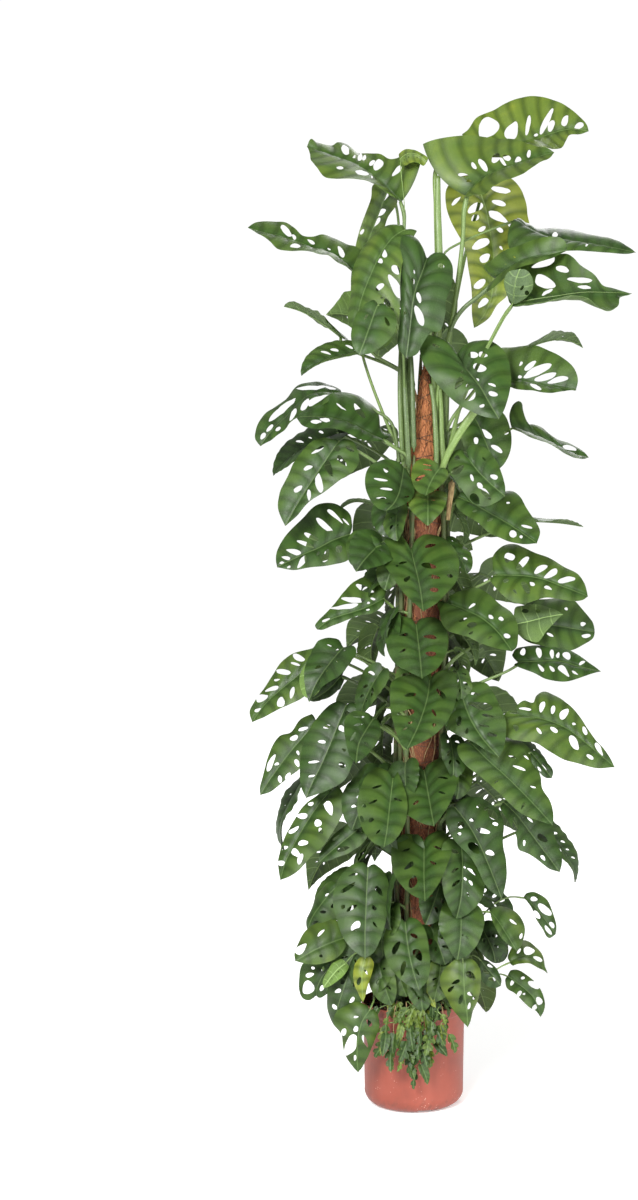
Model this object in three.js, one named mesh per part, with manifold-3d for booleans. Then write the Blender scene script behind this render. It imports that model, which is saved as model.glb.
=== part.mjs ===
// Swiss cheese vine on a coir pole in a plastic nursery pot: leafy stems climb the pole, younger
// shoots stand round its foot, and two sprays trail over the pot's front.
// Millimetres, +Z up. The origin is the centre of the pot's base and -Y is the plant's front.

import * as THREE from "three";
import { mergeVertices } from "three/addons/utils/BufferGeometryUtils.js";
import Module from "manifold-3d";

// Pot
const potHeight = 180;
const rimRadius = 93;
const rimDepth = 16;
const rimProud = 3;
const footRadius = 70;
const cornerRise = 16;
const wallThickness = 2;
const potSides = 24;
const drainCount = 4;
const drainWidth = 30;
const drainRise = 3;

// Soil
const soilTop = 168;
const soilGap = 0.4;
const rootDepth = 55;

// Pole, which leans a little to the right
const poleFootX = 4;
const poleLean = 0.0125;
const poleRadius = 35;
const poleFootZ = 20;
const shoulderZ = 1040;
const poleTipZ = 1318;
const stakeRadius = 14;
const stakeTopZ = 1180;
const poleSides = 18;
const sleeveGap = 0.5;

// Stems and stalks
const stemRadius = 5;
const shootRadius = 3;
const sprayRadius = 2;
const stemClear = 4;
const holeClear = 1;
const seatGap = 0.3;
const stalkRadius = 2.1;
const stemStep = 120;

// Blades
const bladeThickness = 0.9;
const crown = 0.07;
const ripple = 0.06;
const rippleCount = 9;

// The leaves are set out as an eye sees them that stands 3 m in front of the pole: x and the
// height are what it reads on an upright rule at the pole, y is how far behind the pole a point
// lies. The rule's zero is 21 mm under the floor, where the pot's front foot seems to be.
const eyeDistance = 3000;
const eyeHeight = 949;
const ruleZero = -21;

const green = { deep: 0x2f5a26, mid: 0x4a7a30, young: 0x6b9440 };

const wasm = await Module();
wasm.setup();

// Solids

function solidOf(geometry) {
  geometry.deleteAttribute("normal");
  geometry.deleteAttribute("uv");
  const merged = mergeVertices(geometry, 1e-4);
  const triVerts = new Uint32Array(merged.index.array);
  const vertProperties = new Float32Array(merged.attributes.position.array);
  return new wasm.Manifold(new wasm.Mesh({ numProp: 3, vertProperties, triVerts }));
}

function geometryOf(solid) {
  const { vertProperties, triVerts } = solid.getMesh();
  const geometry = new THREE.BufferGeometry();
  geometry.setAttribute("position", new THREE.BufferAttribute(vertProperties, 3));
  geometry.setIndex(new THREE.BufferAttribute(triVerts, 1));
  geometry.computeVertexNormals();
  return geometry;
}

function turned(profile, sides) {
  const points = profile.map(([r, z]) => new THREE.Vector2(r, z));
  return new THREE.LatheGeometry(points, sides).rotateX(Math.PI / 2);
}

function tube(points, radius, sides, steps) {
  const section = new THREE.Shape();
  for (let i = 0; i < sides; i++) {
    const angle = (2 * Math.PI * i) / sides;
    section[i ? "lineTo" : "moveTo"](radius * Math.cos(angle), radius * Math.sin(angle));
  }
  section.closePath();
  const extrudePath = new THREE.CatmullRomCurve3(points);
  return solidOf(new THREE.ExtrudeGeometry(section, { steps, extrudePath, bevelEnabled: false }));
}

// The pole's axis, and its radius at a height

function poleAxis(z) {
  return new THREE.Vector3(poleFootX + poleLean * z, 0, z);
}

function poleRadiusAt(z) {
  const taper = THREE.MathUtils.clamp((z - shoulderZ) / (poleTipZ - shoulderZ), 0, 1);
  return poleRadius * (1 - taper) ** 0.8;
}

// Where a point seen on the rule at x and z really is, when it lies y behind the pole

function seen(x, z, y) {
  const spread = (eyeDistance + y) / eyeDistance;
  const height = eyeHeight + (z + ruleZero - eyeHeight) * spread;
  return new THREE.Vector3(x * spread, y, height);
}

// A leaf's row: where its stalk meets it (x, height, y), where its tip is (x, height, y), its
// width, tilt (0 faces the eye, 90 the sky, 180 away from the eye), fold (the angle at which
// both halves rise from the midrib), bow (how far the midrib arches, over its length), and how
// many holes it has. Some rows go on with a point that the stalk passes (x, height, y), the sweep
// (how far the margin is drawn back, over the half width) and the curl (how much the fold grows
// from stalk to tip).

function bladeOf(row, phase) {
  const [baseX, baseZ, baseY, tipX, tipZ, tipY, width, tilt, fold, bow, holes] = row;
  const base = seen(baseX, baseZ, baseY);
  const tip = seen(tipX, tipZ, tipY);
  const along = tip.clone().sub(base);
  const length = along.length();
  along.normalize();
  const facing = new THREE.Vector3(0, -1, 0).projectOnPlane(along).normalize();
  const across = along.clone().cross(facing);
  const outward = new THREE.Vector3(0.4 * Math.sign(baseX + tipX || 1), 0, 1);
  if (across.dot(outward) < 0) across.negate();
  const angle = THREE.MathUtils.degToRad(tilt);
  const normal = facing.multiplyScalar(Math.cos(angle)).addScaledVector(across, Math.sin(angle));
  const side = along.clone().cross(normal);
  const [, , , , , , , , , , , , sweep = 0, curl = 0] = row;
  return { base, along, normal, side, length, half: width / 2, fold, curl, sweep, bow, holes, phase };
}

// A point of the blade: u runs from stalk to tip, v from the left margin (-1) to the right (1)

function bladePoint(blade, u, v) {
  const out = Math.abs(v) * blade.half;
  const swell = 4 * crown * blade.half * Math.abs(v) * (1 - Math.abs(v));
  const wave = ripple * blade.half * v * v * Math.sin(rippleCount * u + blade.phase + v);
  const arch = 4 * blade.bow * blade.length * u * (1 - u);
  const rise = THREE.MathUtils.degToRad(blade.fold + blade.curl * u);
  return blade.base
    .clone()
    .addScaledVector(blade.along, u * blade.length - blade.sweep * out)
    .addScaledVector(blade.side, Math.sign(v) * out * Math.cos(rise))
    .addScaledVector(blade.normal, arch + out * Math.sin(rise) + swell + wave);
}

function bladeNormal(blade, u, v) {
  const step = 0.03;
  const alongU = bladePoint(blade, u + step, v).sub(bladePoint(blade, u - step, v));
  const alongV = bladePoint(blade, u, v + step).sub(bladePoint(blade, u, v - step));
  return alongV.cross(alongU).normalize();
}

// One half of the outline, from the lobe behind the stalk to the shoulder of the tip, and where
// the side veins that part the cells leave the midrib
const margin = [
  [-0.09, 0.32],
  [0.05, 0.88],
  [0.33, 1.0],
  [0.7, 0.66],
];
const veinFoot = [0, 0.2, 0.5];
const holeOrder = [
  [1, 1],
  [-1, 1],
  [1, 2],
  [-1, 2],
  [-1, 0],
  [1, 0],
];
const holeInner = 0.2;
const holeOuter = 0.66;
const holeWaist = 0.44;
const holeSpread = 0.27;

// A thin plate over (u, v) points: the same triangles on both faces, joined along every edge
// that only one triangle has

function plate(blade, points, triangles) {
  const positions = [];
  for (const offset of [bladeThickness / 2, -bladeThickness / 2])
    for (const [u, v] of points) {
      const normal = bladeNormal(blade, u, v);
      positions.push(...bladePoint(blade, u, v).addScaledVector(normal, offset));
    }
  const under = points.length;
  const index = [];
  const edges = new Set(triangles.flatMap(([a, b, c]) => [`${a}>${b}`, `${b}>${c}`, `${c}>${a}`]));
  for (const [a, b, c] of triangles) {
    index.push(a, b, c, under + a, under + c, under + b);
    for (const [from, to] of [[a, b], [b, c], [c, a]])
      if (!edges.has(`${to}>${from}`)) index.push(to, from, under + from, to, under + from, under + to);
  }
  const geometry = new THREE.BufferGeometry();
  geometry.setAttribute("position", new THREE.Float32BufferAttribute(positions, 3));
  geometry.setIndex(index);
  return solidOf(geometry);
}

// Triangles of a flat region of (u, v) points, wound so that the upper face looks outward

function fill(points, contour, hole) {
  const flat = (list) => list.map((i) => new THREE.Vector2(...points[i]));
  const all = [...contour, ...hole];
  const holes = hole.length ? [flat(hole)] : [];
  return THREE.ShapeUtils.triangulateShape(flat(contour), holes).map((face) => {
    const [a, b, c] = face.map((i) => all[i]);
    const [p, q, r] = [points[a], points[b], points[c]];
    const area = (q[0] - p[0]) * (r[1] - p[1]) - (q[1] - p[1]) * (r[0] - p[0]);
    return area < 0 ? [a, b, c] : [a, c, b];
  });
}

function bladeSolid(blade) {
  const points = veinFoot.map((u) => [u, 0]);
  const tip = points.push([1, 0]) - 1;
  const triangles = [];
  const open = new Set(holeOrder.slice(0, blade.holes).map(([side, cell]) => side * 10 + cell));
  for (const side of [1, -1]) {
    const first = points.length;
    for (const [u, v] of margin) points.push([u, side * v]);
    veinFoot.forEach((_, cell) => {
      const next = cell + 1 < veinFoot.length ? cell + 1 : tip;
      const contour = [cell, first + cell, first + cell + 1, next];
      const hole = [];
      if (open.has(side * 10 + cell)) {
        const [m, p, q, n] = contour.map((i) => points[i]);
        const inCell = (s, t) => [0, 1].map(
          (k) => (1 - t) * ((1 - s) * m[k] + s * n[k]) + t * ((1 - s) * p[k] + s * q[k]));
        for (const [s, t] of [
          [0.5, holeInner],
          [0.5 + holeSpread, holeWaist],
          [0.5, holeOuter],
          [0.5 - holeSpread, holeWaist],
        ])
          hole.push(points.push(inCell(s, t)) - 1);
      }
      triangles.push(...fill(points, contour, hole));
    });
  }
  return plate(blade, points, triangles);
}

// A trailing leaf is narrow, with its margin cut in on both sides

const cutMargin = [
  [0.08, 0.7],
  [0.35, 1.0],
  [0.42, 0.4],
  [0.7, 0.8],
];

function cutBladeSolid(blade) {
  const points = [[0, 0], [0.45, 0], [1, 0]];
  const triangles = [];
  for (const side of [1, -1]) {
    const first = points.length;
    for (const [u, v] of cutMargin) points.push([u, side * v]);
    const edge = cutMargin.map((_, i) => first + i);
    triangles.push(...fill(points, [0, ...edge, 2, 1], []));
  }
  return plate(blade, points, triangles);
}

// The stalk leaves the stem upward and outward and comes to the blade from its underside

function stalk(blade, from, radius, via) {
  const end = blade.base.clone().addScaledVector(blade.along, 2);
  const reach = end.distanceTo(from);
  let points;
  if (via) points = [from, seen(...via), end];
  else {
    const out = end.clone().sub(from).setZ(0).normalize();
    const start = from.clone().addScaledVector(out, 0.14 * reach);
    start.z += 0.3 * reach;
    const finish = end.clone().addScaledVector(blade.normal, -0.2 * reach);
    finish.addScaledVector(blade.along, -0.08 * reach);
    points = new THREE.CubicBezierCurve3(from, start, finish, end).getPoints(3);
  }
  return tube(points, radius, 3, 2);
}

// A climbing stem: the angle at which it stands round the pole (0 is the right, -90 the front),
// how high it goes, and its leaves

function climberPoint(stem, z) {
  const angle = THREE.MathUtils.degToRad(stem.angle + 5 * Math.sin(z / 95 + stem.angle));
  const away = Math.max(poleRadiusAt(z), 13) + stemRadius + stemClear;
  return poleAxis(z).add(new THREE.Vector3(away * Math.cos(angle), away * Math.sin(angle), 0));
}

function climber(stem) {
  const foot = soilTop - rootDepth;
  const steps = Math.round((stem.top - foot) / stemStep);
  const points = [];
  for (let i = 0; i <= steps; i++) {
    const z = foot + ((stem.top - foot) * i) / steps;
    points.push(climberPoint(stem, Math.max(z, soilTop + 20)).setZ(z));
  }
  let solid = tube(points, stemRadius, 4, steps);
  stem.leaves.forEach((row, i) => {
    const blade = bladeOf(row, i * 1.7 + stem.angle);
    const near = climberPoint(stem, blade.base.z).distanceTo(blade.base);
    const lowest = soilTop + 15;
    const from = THREE.MathUtils.clamp(blade.base.z - 0.55 * near - 15, lowest, stem.top - 10);
    const stout = Math.max(0, blade.base.z - 1400) * 0.01;
    solid = solid
      .add(bladeSolid(blade))
      .add(stalk(blade, climberPoint(stem, from), stalkRadius + stout, row[11]));
  });
  return solid;
}

// A free shoot: the points its stem passes, and its leaves, each with the share of the stem's
// length at which its stalk starts

function shoot(plant) {
  const path = new THREE.CatmullRomCurve3(plant.route.map((p) => new THREE.Vector3(...p)));
  const steps = (plant.route.length - 1) * (plant.cut ? 2 : 1);
  const knot = (share) => path.getPointAt(Math.round(share * steps) / steps);
  let solid = tube(path.points, plant.radius, 4, steps);
  plant.leaves.forEach(([share, row], i) => {
    const blade = bladeOf(row, i * 2.1 + plant.radius);
    solid = solid
      .add(plant.cut ? cutBladeSolid(blade) : bladeSolid(blade))
      .add(stalk(blade, knot(share), plant.cut ? 1.2 : stalkRadius - 0.3, row[11]));
  });
  return solid;
}

const climbers = {
  stem_right_tall: {
    angle: -8, top: 1480, colour: green.mid,
    leaves: [
      [94, 1634, -30, 252, 1708, -130, 210, 122, 40, 0.06, 4, [80, 1500, -30], 0.35, -40],
      [113, 1711, 30, 312, 1746, 120, 160, 123, 40, 0.04, 4, [34, 1640, 20], 0.1, -20],
      [120, 1645, 105, 104, 1394, 85, 180, 37, 20, 0.1, 4, [48, 1580, 50]],
      [179, 1570, -10, 396, 1529, 50, 130, 94, -6, 0.03, 2, [95, 1553, -10]],
      [95, 1470, -40, 273, 1533, -50, 110, 66, 10, 0.08, 1, [60, 1420, -25]],
      [175, 1458, -105, 387, 1458, -145, 160, 113, 28, -0.02, 3, [125, 1372, -50]],
      [24, 1520, -60, -9, 1340, -100, 110, 28, 12, 0.08, 3, [22, 1440, -20]],
      [145, 1325, -30, 289, 1284, -80, 135, 50, 15, 0.02, 4],
      [79, 1344, -60, 152, 1232, -150, 140, 4, 8, 0.06, 4],
      [205, 1362, 50, 297, 1376, 110, 80, 94, 5, 0.05, 0],
      [176, 1222, 10, 313, 1166, 40, 95, 86, 18, 0.05, 1],
      [105, 1238, 10, 151, 1142, -30, 95, 20, 8, 0.08, 1],
      [160, 1052, 20, 302, 1044, 60, 90, 90, 4, 0.02, 0],
    ],
  },
  stem_left_tall: {
    angle: 188, top: 1470, colour: green.mid,
    leaves: [
      [-26, 1618, 0, -188, 1722, 30, 150, 118, 40, 0.04, 3, [-8, 1545, 0], 0, -80],
      [-43, 1630, 75, -104, 1514, 75, 90, 58, 8, 0.06, 2, [-12, 1560, 45]],
      [-81, 1514, 20, -293, 1575, 10, 90, 97, 3, -0.04, 2],
      [-18, 1562, -30, -115, 1360, -80, 130, 42, 8, 0.18, 3, [5, 1530, -10]],
      [-55, 1470, -115, -90, 1348, -165, 95, 30, 8, 0.08, 2],
      [-128, 1378, 50, -228, 1438, 80, 70, 94, 5, 0.04, 0],
      [-90, 1410, 20, -150, 1422, 90, 90, 135, 8, 0.05, 1],
      [-75, 1355, -20, -203, 1323, -50, 95, 63, 16, 0.02, 2],
      [-135, 1282, 0, -274, 1186, -20, 105, 66, 6, 0.18, 3],
      [-75, 1207, -40, -210, 1234, -80, 120, 54, 18, 0.06, 3],
      [-125, 1208, 30, -253, 1136, 60, 105, 62, 8, 0.08, 1],
      [-134, 1194, -50, -228, 1043, -80, 125, 40, 8, 0.06, 4],
      [-53, 1070, 10, -132, 1082, 30, 60, 92, 5, 0.12, 0],
    ],
  },
  stem_front: {
    angle: -122, top: 1150, colour: green.deep,
    leaves: [
      [-18, 1146, -60, -60, 1066, -145, 112, 10, 8, 0.05, 2],
      [49, 1148, -75, 21, 1099, -130, 68, 0, 6, 0.05, 0],
      [25, 1100, -60, 25, 1052, -130, 72, 0, 6, 0.05, 0],
      [2, 1002, -70, 18, 892, -200, 138, 0, 10, 0.06, 4],
      [-55, 1015, -40, -102, 966, -100, 85, 20, 8, 0.05, 1],
      [2, 864, -60, 16, 772, -165, 105, 0, 8, 0.06, 1],
      [20, 758, -75, -14, 647, -200, 122, 0, 8, 0.06, 4],
      [-80, 705, -100, -107, 620, -180, 85, 12, 8, 0.05, 1],
      [-36, 595, -90, -52, 472, -190, 105, 8, 10, 0.06, 3],
      [15, 615, -60, 38, 508, -165, 112, 0, 8, 0.06, 2],
      [21, 480, -70, 20, 373, -175, 108, 0, 8, 0.06, 3],
    ],
  },
  stem_right_low: {
    angle: -32, top: 1160, colour: green.deep,
    leaves: [
      [90, 1172, -50, 163, 1087, -110, 105, 20, 8, 0.06, 3],
      [78, 1098, -40, 220, 1012, -80, 115, 44, 8, 0.1, 2],
      [139, 953, -20, 309, 917, -60, 125, 44, 10, 0.06, 4],
      [65, 905, -60, 184, 820, -110, 115, 40, 8, 0.1, 3],
      [185, 872, 10, 320, 845, 40, 110, 42, 8, 0.1, 2],
      [183, 800, -30, 333, 783, -60, 92, 52, 8, 0.02, 3],
      [82, 760, -30, 151, 630, -100, 110, 24, 8, 0.08, 2],
      [185, 708, -10, 359, 613, -40, 130, 48, 10, 0.1, 4],
      [93, 665, -50, 248, 510, -90, 140, 46, 22, 0.1, 3],
      [156, 558, -20, 262, 428, -40, 95, 48, 8, 0.1, 2],
      [70, 548, -60, 158, 380, -110, 125, 48, 8, 0.14, 3],
      [180, 660, 50, 248, 600, 70, 50, 70, 6, 0.06, 0],
      [215, 510, 30, 297, 415, 40, 80, 65, 8, 0.08, 1],
    ],
  },
  stem_left_low: {
    angle: 214, top: 1090, colour: green.deep,
    leaves: [
      [-113, 1023, -30, -244, 970, -60, 120, 34, 10, 0.08, 4],
      [-54, 913, -50, -176, 858, -80, 100, 46, 8, 0.08, 3],
      [-125, 827, -50, -190, 734, -100, 90, 36, 8, 0.06, 1],
      [-175, 800, -10, -290, 692, -30, 110, 44, 8, 0.06, 3],
      [-157, 684, 25, -272, 566, 0, 96, 50, 8, 0.06, 2],
      [-120, 725, -25, -189, 560, -75, 115, 36, 10, 0.06, 3],
      [-52, 600, -30, -112, 505, -65, 90, 36, 10, 0.06, 1],
      [-140, 575, -20, -239, 413, -50, 135, 40, 12, 0.06, 4],
      [-80, 520, -30, -168, 445, -50, 85, 48, 8, 0.06, 1],
      [-195, 590, 60, -246, 470, 80, 90, 78, 6, 0.06, 0],
      [-128, 777, 30, -185, 734, 50, 80, 60, 6, 0.06, 0],
    ],
  },
  stem_back_left: {
    angle: 116, top: 1330, colour: green.deep,
    leaves: [
      [-50, 1370, 80, -90, 1270, 190, 110, 170, 8, 0.06, 1],
      [-60, 1220, 60, -150, 1130, 140, 115, 150, 8, 0.06, 1],
      [-40, 1070, 80, -80, 960, 180, 115, 172, 8, 0.06, 1],
      [-113, 1010, 40, -190, 990, 110, 90, 130, 6, 0.05, 1],
      [-45, 875, 60, -120, 829, 120, 90, 132, 8, 0.06, 1],
      [-60, 760, 70, -130, 700, 160, 95, 145, 8, 0.06, 1],
      [-80, 650, 60, -160, 560, 150, 110, 155, 8, 0.06, 1],
      [-50, 560, 80, -70, 450, 190, 110, 172, 8, 0.06, 1],
      [-110, 500, 50, -190, 410, 110, 100, 150, 8, 0.06, 1],
    ],
  },
  stem_back_right: {
    angle: 66, top: 1400, colour: green.deep,
    leaves: [
      [20, 1480, 70, 40, 1350, 170, 120, 176, 10, 0.06, 1],
      [70, 1385, 110, 130, 1280, 200, 110, 160, 8, 0.06, 1],
      [40, 1200, 70, 60, 1090, 190, 125, 178, 8, 0.06, 1],
      [60, 1090, 60, 150, 1030, 150, 110, 150, 8, 0.06, 1],
      [60, 985, 30, 100, 1005, 70, 70, 120, 6, 0.05, 0],
      [70, 795, 40, 125, 810, 90, 75, 118, 6, 0.04, 0],
      [30, 970, 80, 30, 860, 200, 115, 180, 8, 0.06, 1],
      [115, 960, 50, 210, 900, 130, 110, 145, 8, 0.06, 1],
      [80, 860, 60, 150, 780, 150, 110, 155, 8, 0.06, 1],
      [20, 790, 80, 15, 680, 200, 115, 180, 8, 0.06, 1],
      [100, 730, 60, 190, 650, 150, 110, 150, 8, 0.06, 1],
      [40, 640, 80, 60, 530, 190, 115, 176, 8, 0.06, 1],
      [110, 590, 60, 190, 500, 130, 105, 150, 8, 0.06, 1],
      [30, 470, 80, 30, 360, 180, 110, 180, 8, 0.06, 1],
    ],
  },
};

const shoots = {
  shoot_left: {
    radius: shootRadius, colour: green.mid,
    route: [
      [-58, -22, 113],
      [-58, -22, 150],
      [-58, -22, 186],
      [-66, -26, 260],
      [-72, -32, 340],
      [-74, -38, 410],
    ],
    leaves: [
      [1, [-80, 440, -70, -82, 275, -150, 110, 14, 12, 0.08, 4]],
      [0.8, [-130, 330, -60, -205, 252, -110, 84, 34, 8, 0.08, 2]],
      [0.6, [-95, 268, -90, -88, 195, -120, 38, 20, 24, 0.04, 0]],
      [0.5, [-140, 282, -20, -200, 212, -40, 74, 44, 8, 0.06, 1]],
      [0.4, [-97, 195, -100, -100, 70, -120, 84, 18, 8, 0.08, 3]],
      [0.7, [-105, 415, -10, -172, 350, -20, 74, 46, 8, 0.06, 0]],
    ],
  },
  shoot_right: {
    radius: shootRadius, colour: green.mid,
    route: [
      [56, -26, 113],
      [56, -26, 150],
      [56, -26, 186],
      [62, -32, 270],
      [68, -36, 350],
      [72, -40, 430],
    ],
    leaves: [
      [1, [85, 470, -60, 80, 345, -110, 90, 28, 8, 0.06, 2]],
      [0.9, [84, 366, -80, 81, 275, -130, 76, 12, 8, 0.06, 1]],
      [0.6, [85, 272, -90, 97, 152, -130, 72, 12, 8, 0.08, 2]],
      [0.8, [140, 352, -40, 192, 300, -90, 74, 20, 8, 0.08, 1]],
      [0.7, [197, 384, 0, 248, 315, 0, 75, 50, 8, 0.1, 2]],
      [0.5, [160, 290, -20, 238, 247, -30, 80, 52, 8, 0.12, 2]],
      [0.4, [165, 244, 20, 226, 170, 20, 60, 40, 8, 0.06, 1]],
      [0.4, [115, 267, 0, 154, 222, 0, 55, 40, 8, 0.06, 1]],
    ],
  },
  shoot_front: {
    radius: shootRadius, colour: green.mid,
    route: [[4, -66, 113], [4, -66, 150], [4, -66, 186], [0, -64, 240], [-6, -66, 300]],
    leaves: [
      [1, [-16, 336, -90, 7, 219, -160, 88, 8, 8, 0.06, 3]],
      [0.6, [-30, 262, -80, -14, 205, -100, 44, 20, 14, 0.04, 0]],
      [0.6, [-45, 266, -75, -72, 212, -100, 48, 30, 8, 0.04, 0]],
      [0.5, [30, 262, -75, 45, 205, -100, 46, 20, 12, 0.06, 0]],
    ],
  },
  shoot_back: {
    radius: shootRadius, colour: green.mid,
    route: [[-14, 62, 113], [-14, 62, 150], [-14, 62, 186], [-10, 66, 260], [-6, 70, 340]],
    leaves: [
      [1, [-30, 370, 90, -50, 270, 170, 95, 172, 8, 0.06, 2]],
      [0.9, [60, 350, 80, 100, 260, 150, 95, 160, 8, 0.06, 2]],
      [0.7, [-110, 300, 60, -150, 230, 110, 80, 150, 8, 0.06, 1]],
      [0.6, [20, 270, 110, 20, 190, 160, 80, 178, 8, 0.06, 1]],
      [0.5, [100, 250, 50, 130, 180, 90, 70, 150, 8, 0.06, 0]],
    ],
  },
  spray_left: {
    radius: sprayRadius, colour: green.young, cut: true,
    route: [
      [-24, -70, 113],
      [-24, -70, 160],
      [-24, -71, 182],
      [-27, -86, 196],
      [-30, -101, 186],
      [-32, -104, 150],
      [-30, -101, 110],
    ],
    leaves: [
      [0.75, [-38, 176, -112, -50, 112, -122, 26, 30, 10, 0.05, 0]],
      [0.84, [-22, 146, -110, -4, 92, -118, 28, 20, 10, 0.05, 0]],
      [0.92, [-42, 112, -108, -48, 52, -116, 24, 30, 10, 0.05, 0]],
      [1, [-24, 104, -106, -22, 36, -112, 30, 10, 10, 0.05, 0]],
    ],
  },
  spray_right: {
    radius: sprayRadius, colour: green.young, cut: true,
    route: [
      [30, -70, 113],
      [30, -70, 160],
      [30, -71, 182],
      [30, -86, 196],
      [29, -101, 186],
      [26, -104, 150],
      [24, -101, 120],
    ],
    leaves: [
      [0.67, [8, 190, -108, 10, 140, -118, 24, 20, 10, 0.05, 0]],
      [0.75, [44, 178, -110, 52, 104, -120, 26, 26, 10, 0.05, 0]],
      [0.92, [12, 128, -108, 8, 52, -114, 28, 16, 10, 0.05, 0]],
      [1, [30, 116, -108, 32, 54, -116, 26, 10, 10, 0.05, 0]],
      [0.84, [50, 130, -106, 52, 74, -112, 20, 24, 10, 0.05, 0]],
    ],
  },
};

// Pot, soil and pole

function pot() {
  const wallRadius = rimRadius - rimProud;
  const side = (z) => footRadius + 10 + ((wallRadius - footRadius - 10) * z) / potHeight;
  const inner = (z) => side(z) - wallThickness;
  const profile = [
    [0, 0],
    [footRadius - 6, 0],
    [footRadius + 2, 2.5],
    [footRadius + 8, cornerRise / 2],
    [side(cornerRise), cornerRise],
    [side(potHeight - rimDepth), potHeight - rimDepth],
    [rimRadius, potHeight - rimDepth + 1],
    [rimRadius, potHeight - 1],
    [rimRadius - 1, potHeight],
    [rimRadius - 3, potHeight],
    [inner(potHeight - rimDepth), potHeight - rimDepth],
    [inner(cornerRise), cornerRise],
    [footRadius - 2, 7],
    [0, 7],
  ];
  let solid = solidOf(turned(profile, potSides));
  for (let i = 0; i < drainCount; i++) {
    const channel = new THREE.BoxGeometry(footRadius, drainWidth, 2 * drainRise);
    channel.translate(footRadius + 14, 0, 0);
    channel.rotateZ((2 * Math.PI * i) / drainCount + Math.PI / 2);
    solid = solid.subtract(solidOf(channel));
  }
  return solid;
}

function stemFeet() {
  const feet = Object.values(climbers).map((stem) => {
    const { x, y } = climberPoint(stem, soilTop + 20);
    return { x, y, radius: stemRadius };
  });
  for (const plant of Object.values(shoots)) {
    const [x, y] = plant.route[0];
    feet.push({ x, y, radius: plant.radius });
  }
  return feet;
}

function soil() {
  const wallRadius = rimRadius - rimProud;
  const inside = (z) =>
    footRadius + 10 + ((wallRadius - footRadius - 10) * z) / potHeight - wallThickness - soilGap;
  const profile = [
    [0, 7 + soilGap],
    [footRadius - 3, 7 + soilGap],
    [inside(cornerRise), cornerRise + soilGap],
    [inside(soilTop - 4), soilTop - 4],
    [inside(soilTop - 4) - 8, soilTop],
    [0, soilTop + 2],
  ];
  let solid = solidOf(turned(profile, potSides));
  const bore = (x, y, radius, floor, sides) => {
    const height = soilTop + 20 - floor;
    const plug = new THREE.CylinderGeometry(radius, radius, height, sides).rotateX(Math.PI / 2);
    solid = solid.subtract(solidOf(plug.translate(x, y, floor + height / 2)));
  };
  const lowestEdge = poleFootZ - poleRadius * poleLean;
  bore(poleAxis(soilTop / 2).x, 0, poleRadius + 2 * holeClear, lowestEdge - seatGap, poleSides);
  for (const { x, y, radius } of stemFeet())
    bore(x, y, (radius + holeClear) * 1.25, soilTop - rootDepth - seatGap, 6);
  return solid;
}

function coirSleeve() {
  const profile = [[stakeRadius + sleeveGap, poleFootZ]];
  profile.push([poleRadius, poleFootZ], [poleRadius, shoulderZ]);
  for (const share of [0.3, 0.55, 0.78, 0.92]) {
    const z = shoulderZ + (poleTipZ - shoulderZ) * share;
    profile.push([poleRadiusAt(z), z]);
  }
  profile.push([0, poleTipZ], [0, stakeTopZ + sleeveGap]);
  profile.push([stakeRadius + sleeveGap, stakeTopZ + sleeveGap], [stakeRadius + sleeveGap, poleFootZ]);
  return solidOf(turned(profile, poleSides));
}

function stake() {
  const profile = [[0, poleFootZ], [stakeRadius, poleFootZ], [stakeRadius, stakeTopZ], [0, stakeTopZ]];
  return solidOf(turned(profile, poleSides));
}

// The scene graph

const plant = new THREE.Group();

function addNode(parent, name, solid, color, roughness) {
  const material = new THREE.MeshStandardMaterial({ color, roughness, metalness: 0 });
  const mesh = new THREE.Mesh(geometryOf(solid), material);
  mesh.name = name;
  parent.add(mesh);
}

addNode(plant, "pot", pot(), 0xbb6253, 0.55);
addNode(plant, "soil", soil(), 0x2a1a14, 0.95);

const pole = new THREE.Group();
pole.position.x = poleFootX;
pole.rotation.y = Math.atan(poleLean);
addNode(pole, "pole_stake", stake(), 0xa98455, 0.8);
addNode(pole, "coir_sleeve", coirSleeve(), 0x9a6440, 0.95);
plant.add(pole);

for (const [name, stem] of Object.entries(climbers)) addNode(plant, name, climber(stem), stem.colour, 0.5);
for (const [name, stem] of Object.entries(shoots)) addNode(plant, name, shoot(stem), stem.colour, 0.5);

export default plant;
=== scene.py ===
# Swiss cheese vine on a coir pole in a terracotta-coloured nursery pot.
# Shapes are worked out in millimetres and turned to metres when their mesh is made.
import bpy
import math
import random
import numpy as np
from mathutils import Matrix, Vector
from mathutils.geometry import delaunay_2d_cdt


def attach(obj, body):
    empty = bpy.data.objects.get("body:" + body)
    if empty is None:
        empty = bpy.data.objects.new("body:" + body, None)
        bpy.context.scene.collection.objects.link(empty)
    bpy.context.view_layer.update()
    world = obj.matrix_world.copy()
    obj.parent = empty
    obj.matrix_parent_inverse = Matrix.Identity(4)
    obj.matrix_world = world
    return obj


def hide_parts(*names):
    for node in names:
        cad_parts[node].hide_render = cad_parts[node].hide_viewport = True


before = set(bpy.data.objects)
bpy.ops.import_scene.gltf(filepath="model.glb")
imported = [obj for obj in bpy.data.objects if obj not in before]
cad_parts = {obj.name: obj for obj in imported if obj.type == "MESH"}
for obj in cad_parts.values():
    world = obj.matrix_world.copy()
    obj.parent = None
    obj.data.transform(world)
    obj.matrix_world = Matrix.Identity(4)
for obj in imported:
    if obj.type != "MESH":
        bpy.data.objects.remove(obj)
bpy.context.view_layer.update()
mm = 0.001
print("loaded", len(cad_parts), "nodes")

# The leaves are set out as an eye sees them 3 m in front of the pole, in the upright plane through
# it. Heights in that plane count from 21 mm under the floor, where the pot's front foot seems to be.
eye = {"distance": 3000, "height": 949, "planeZero": -21}

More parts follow.
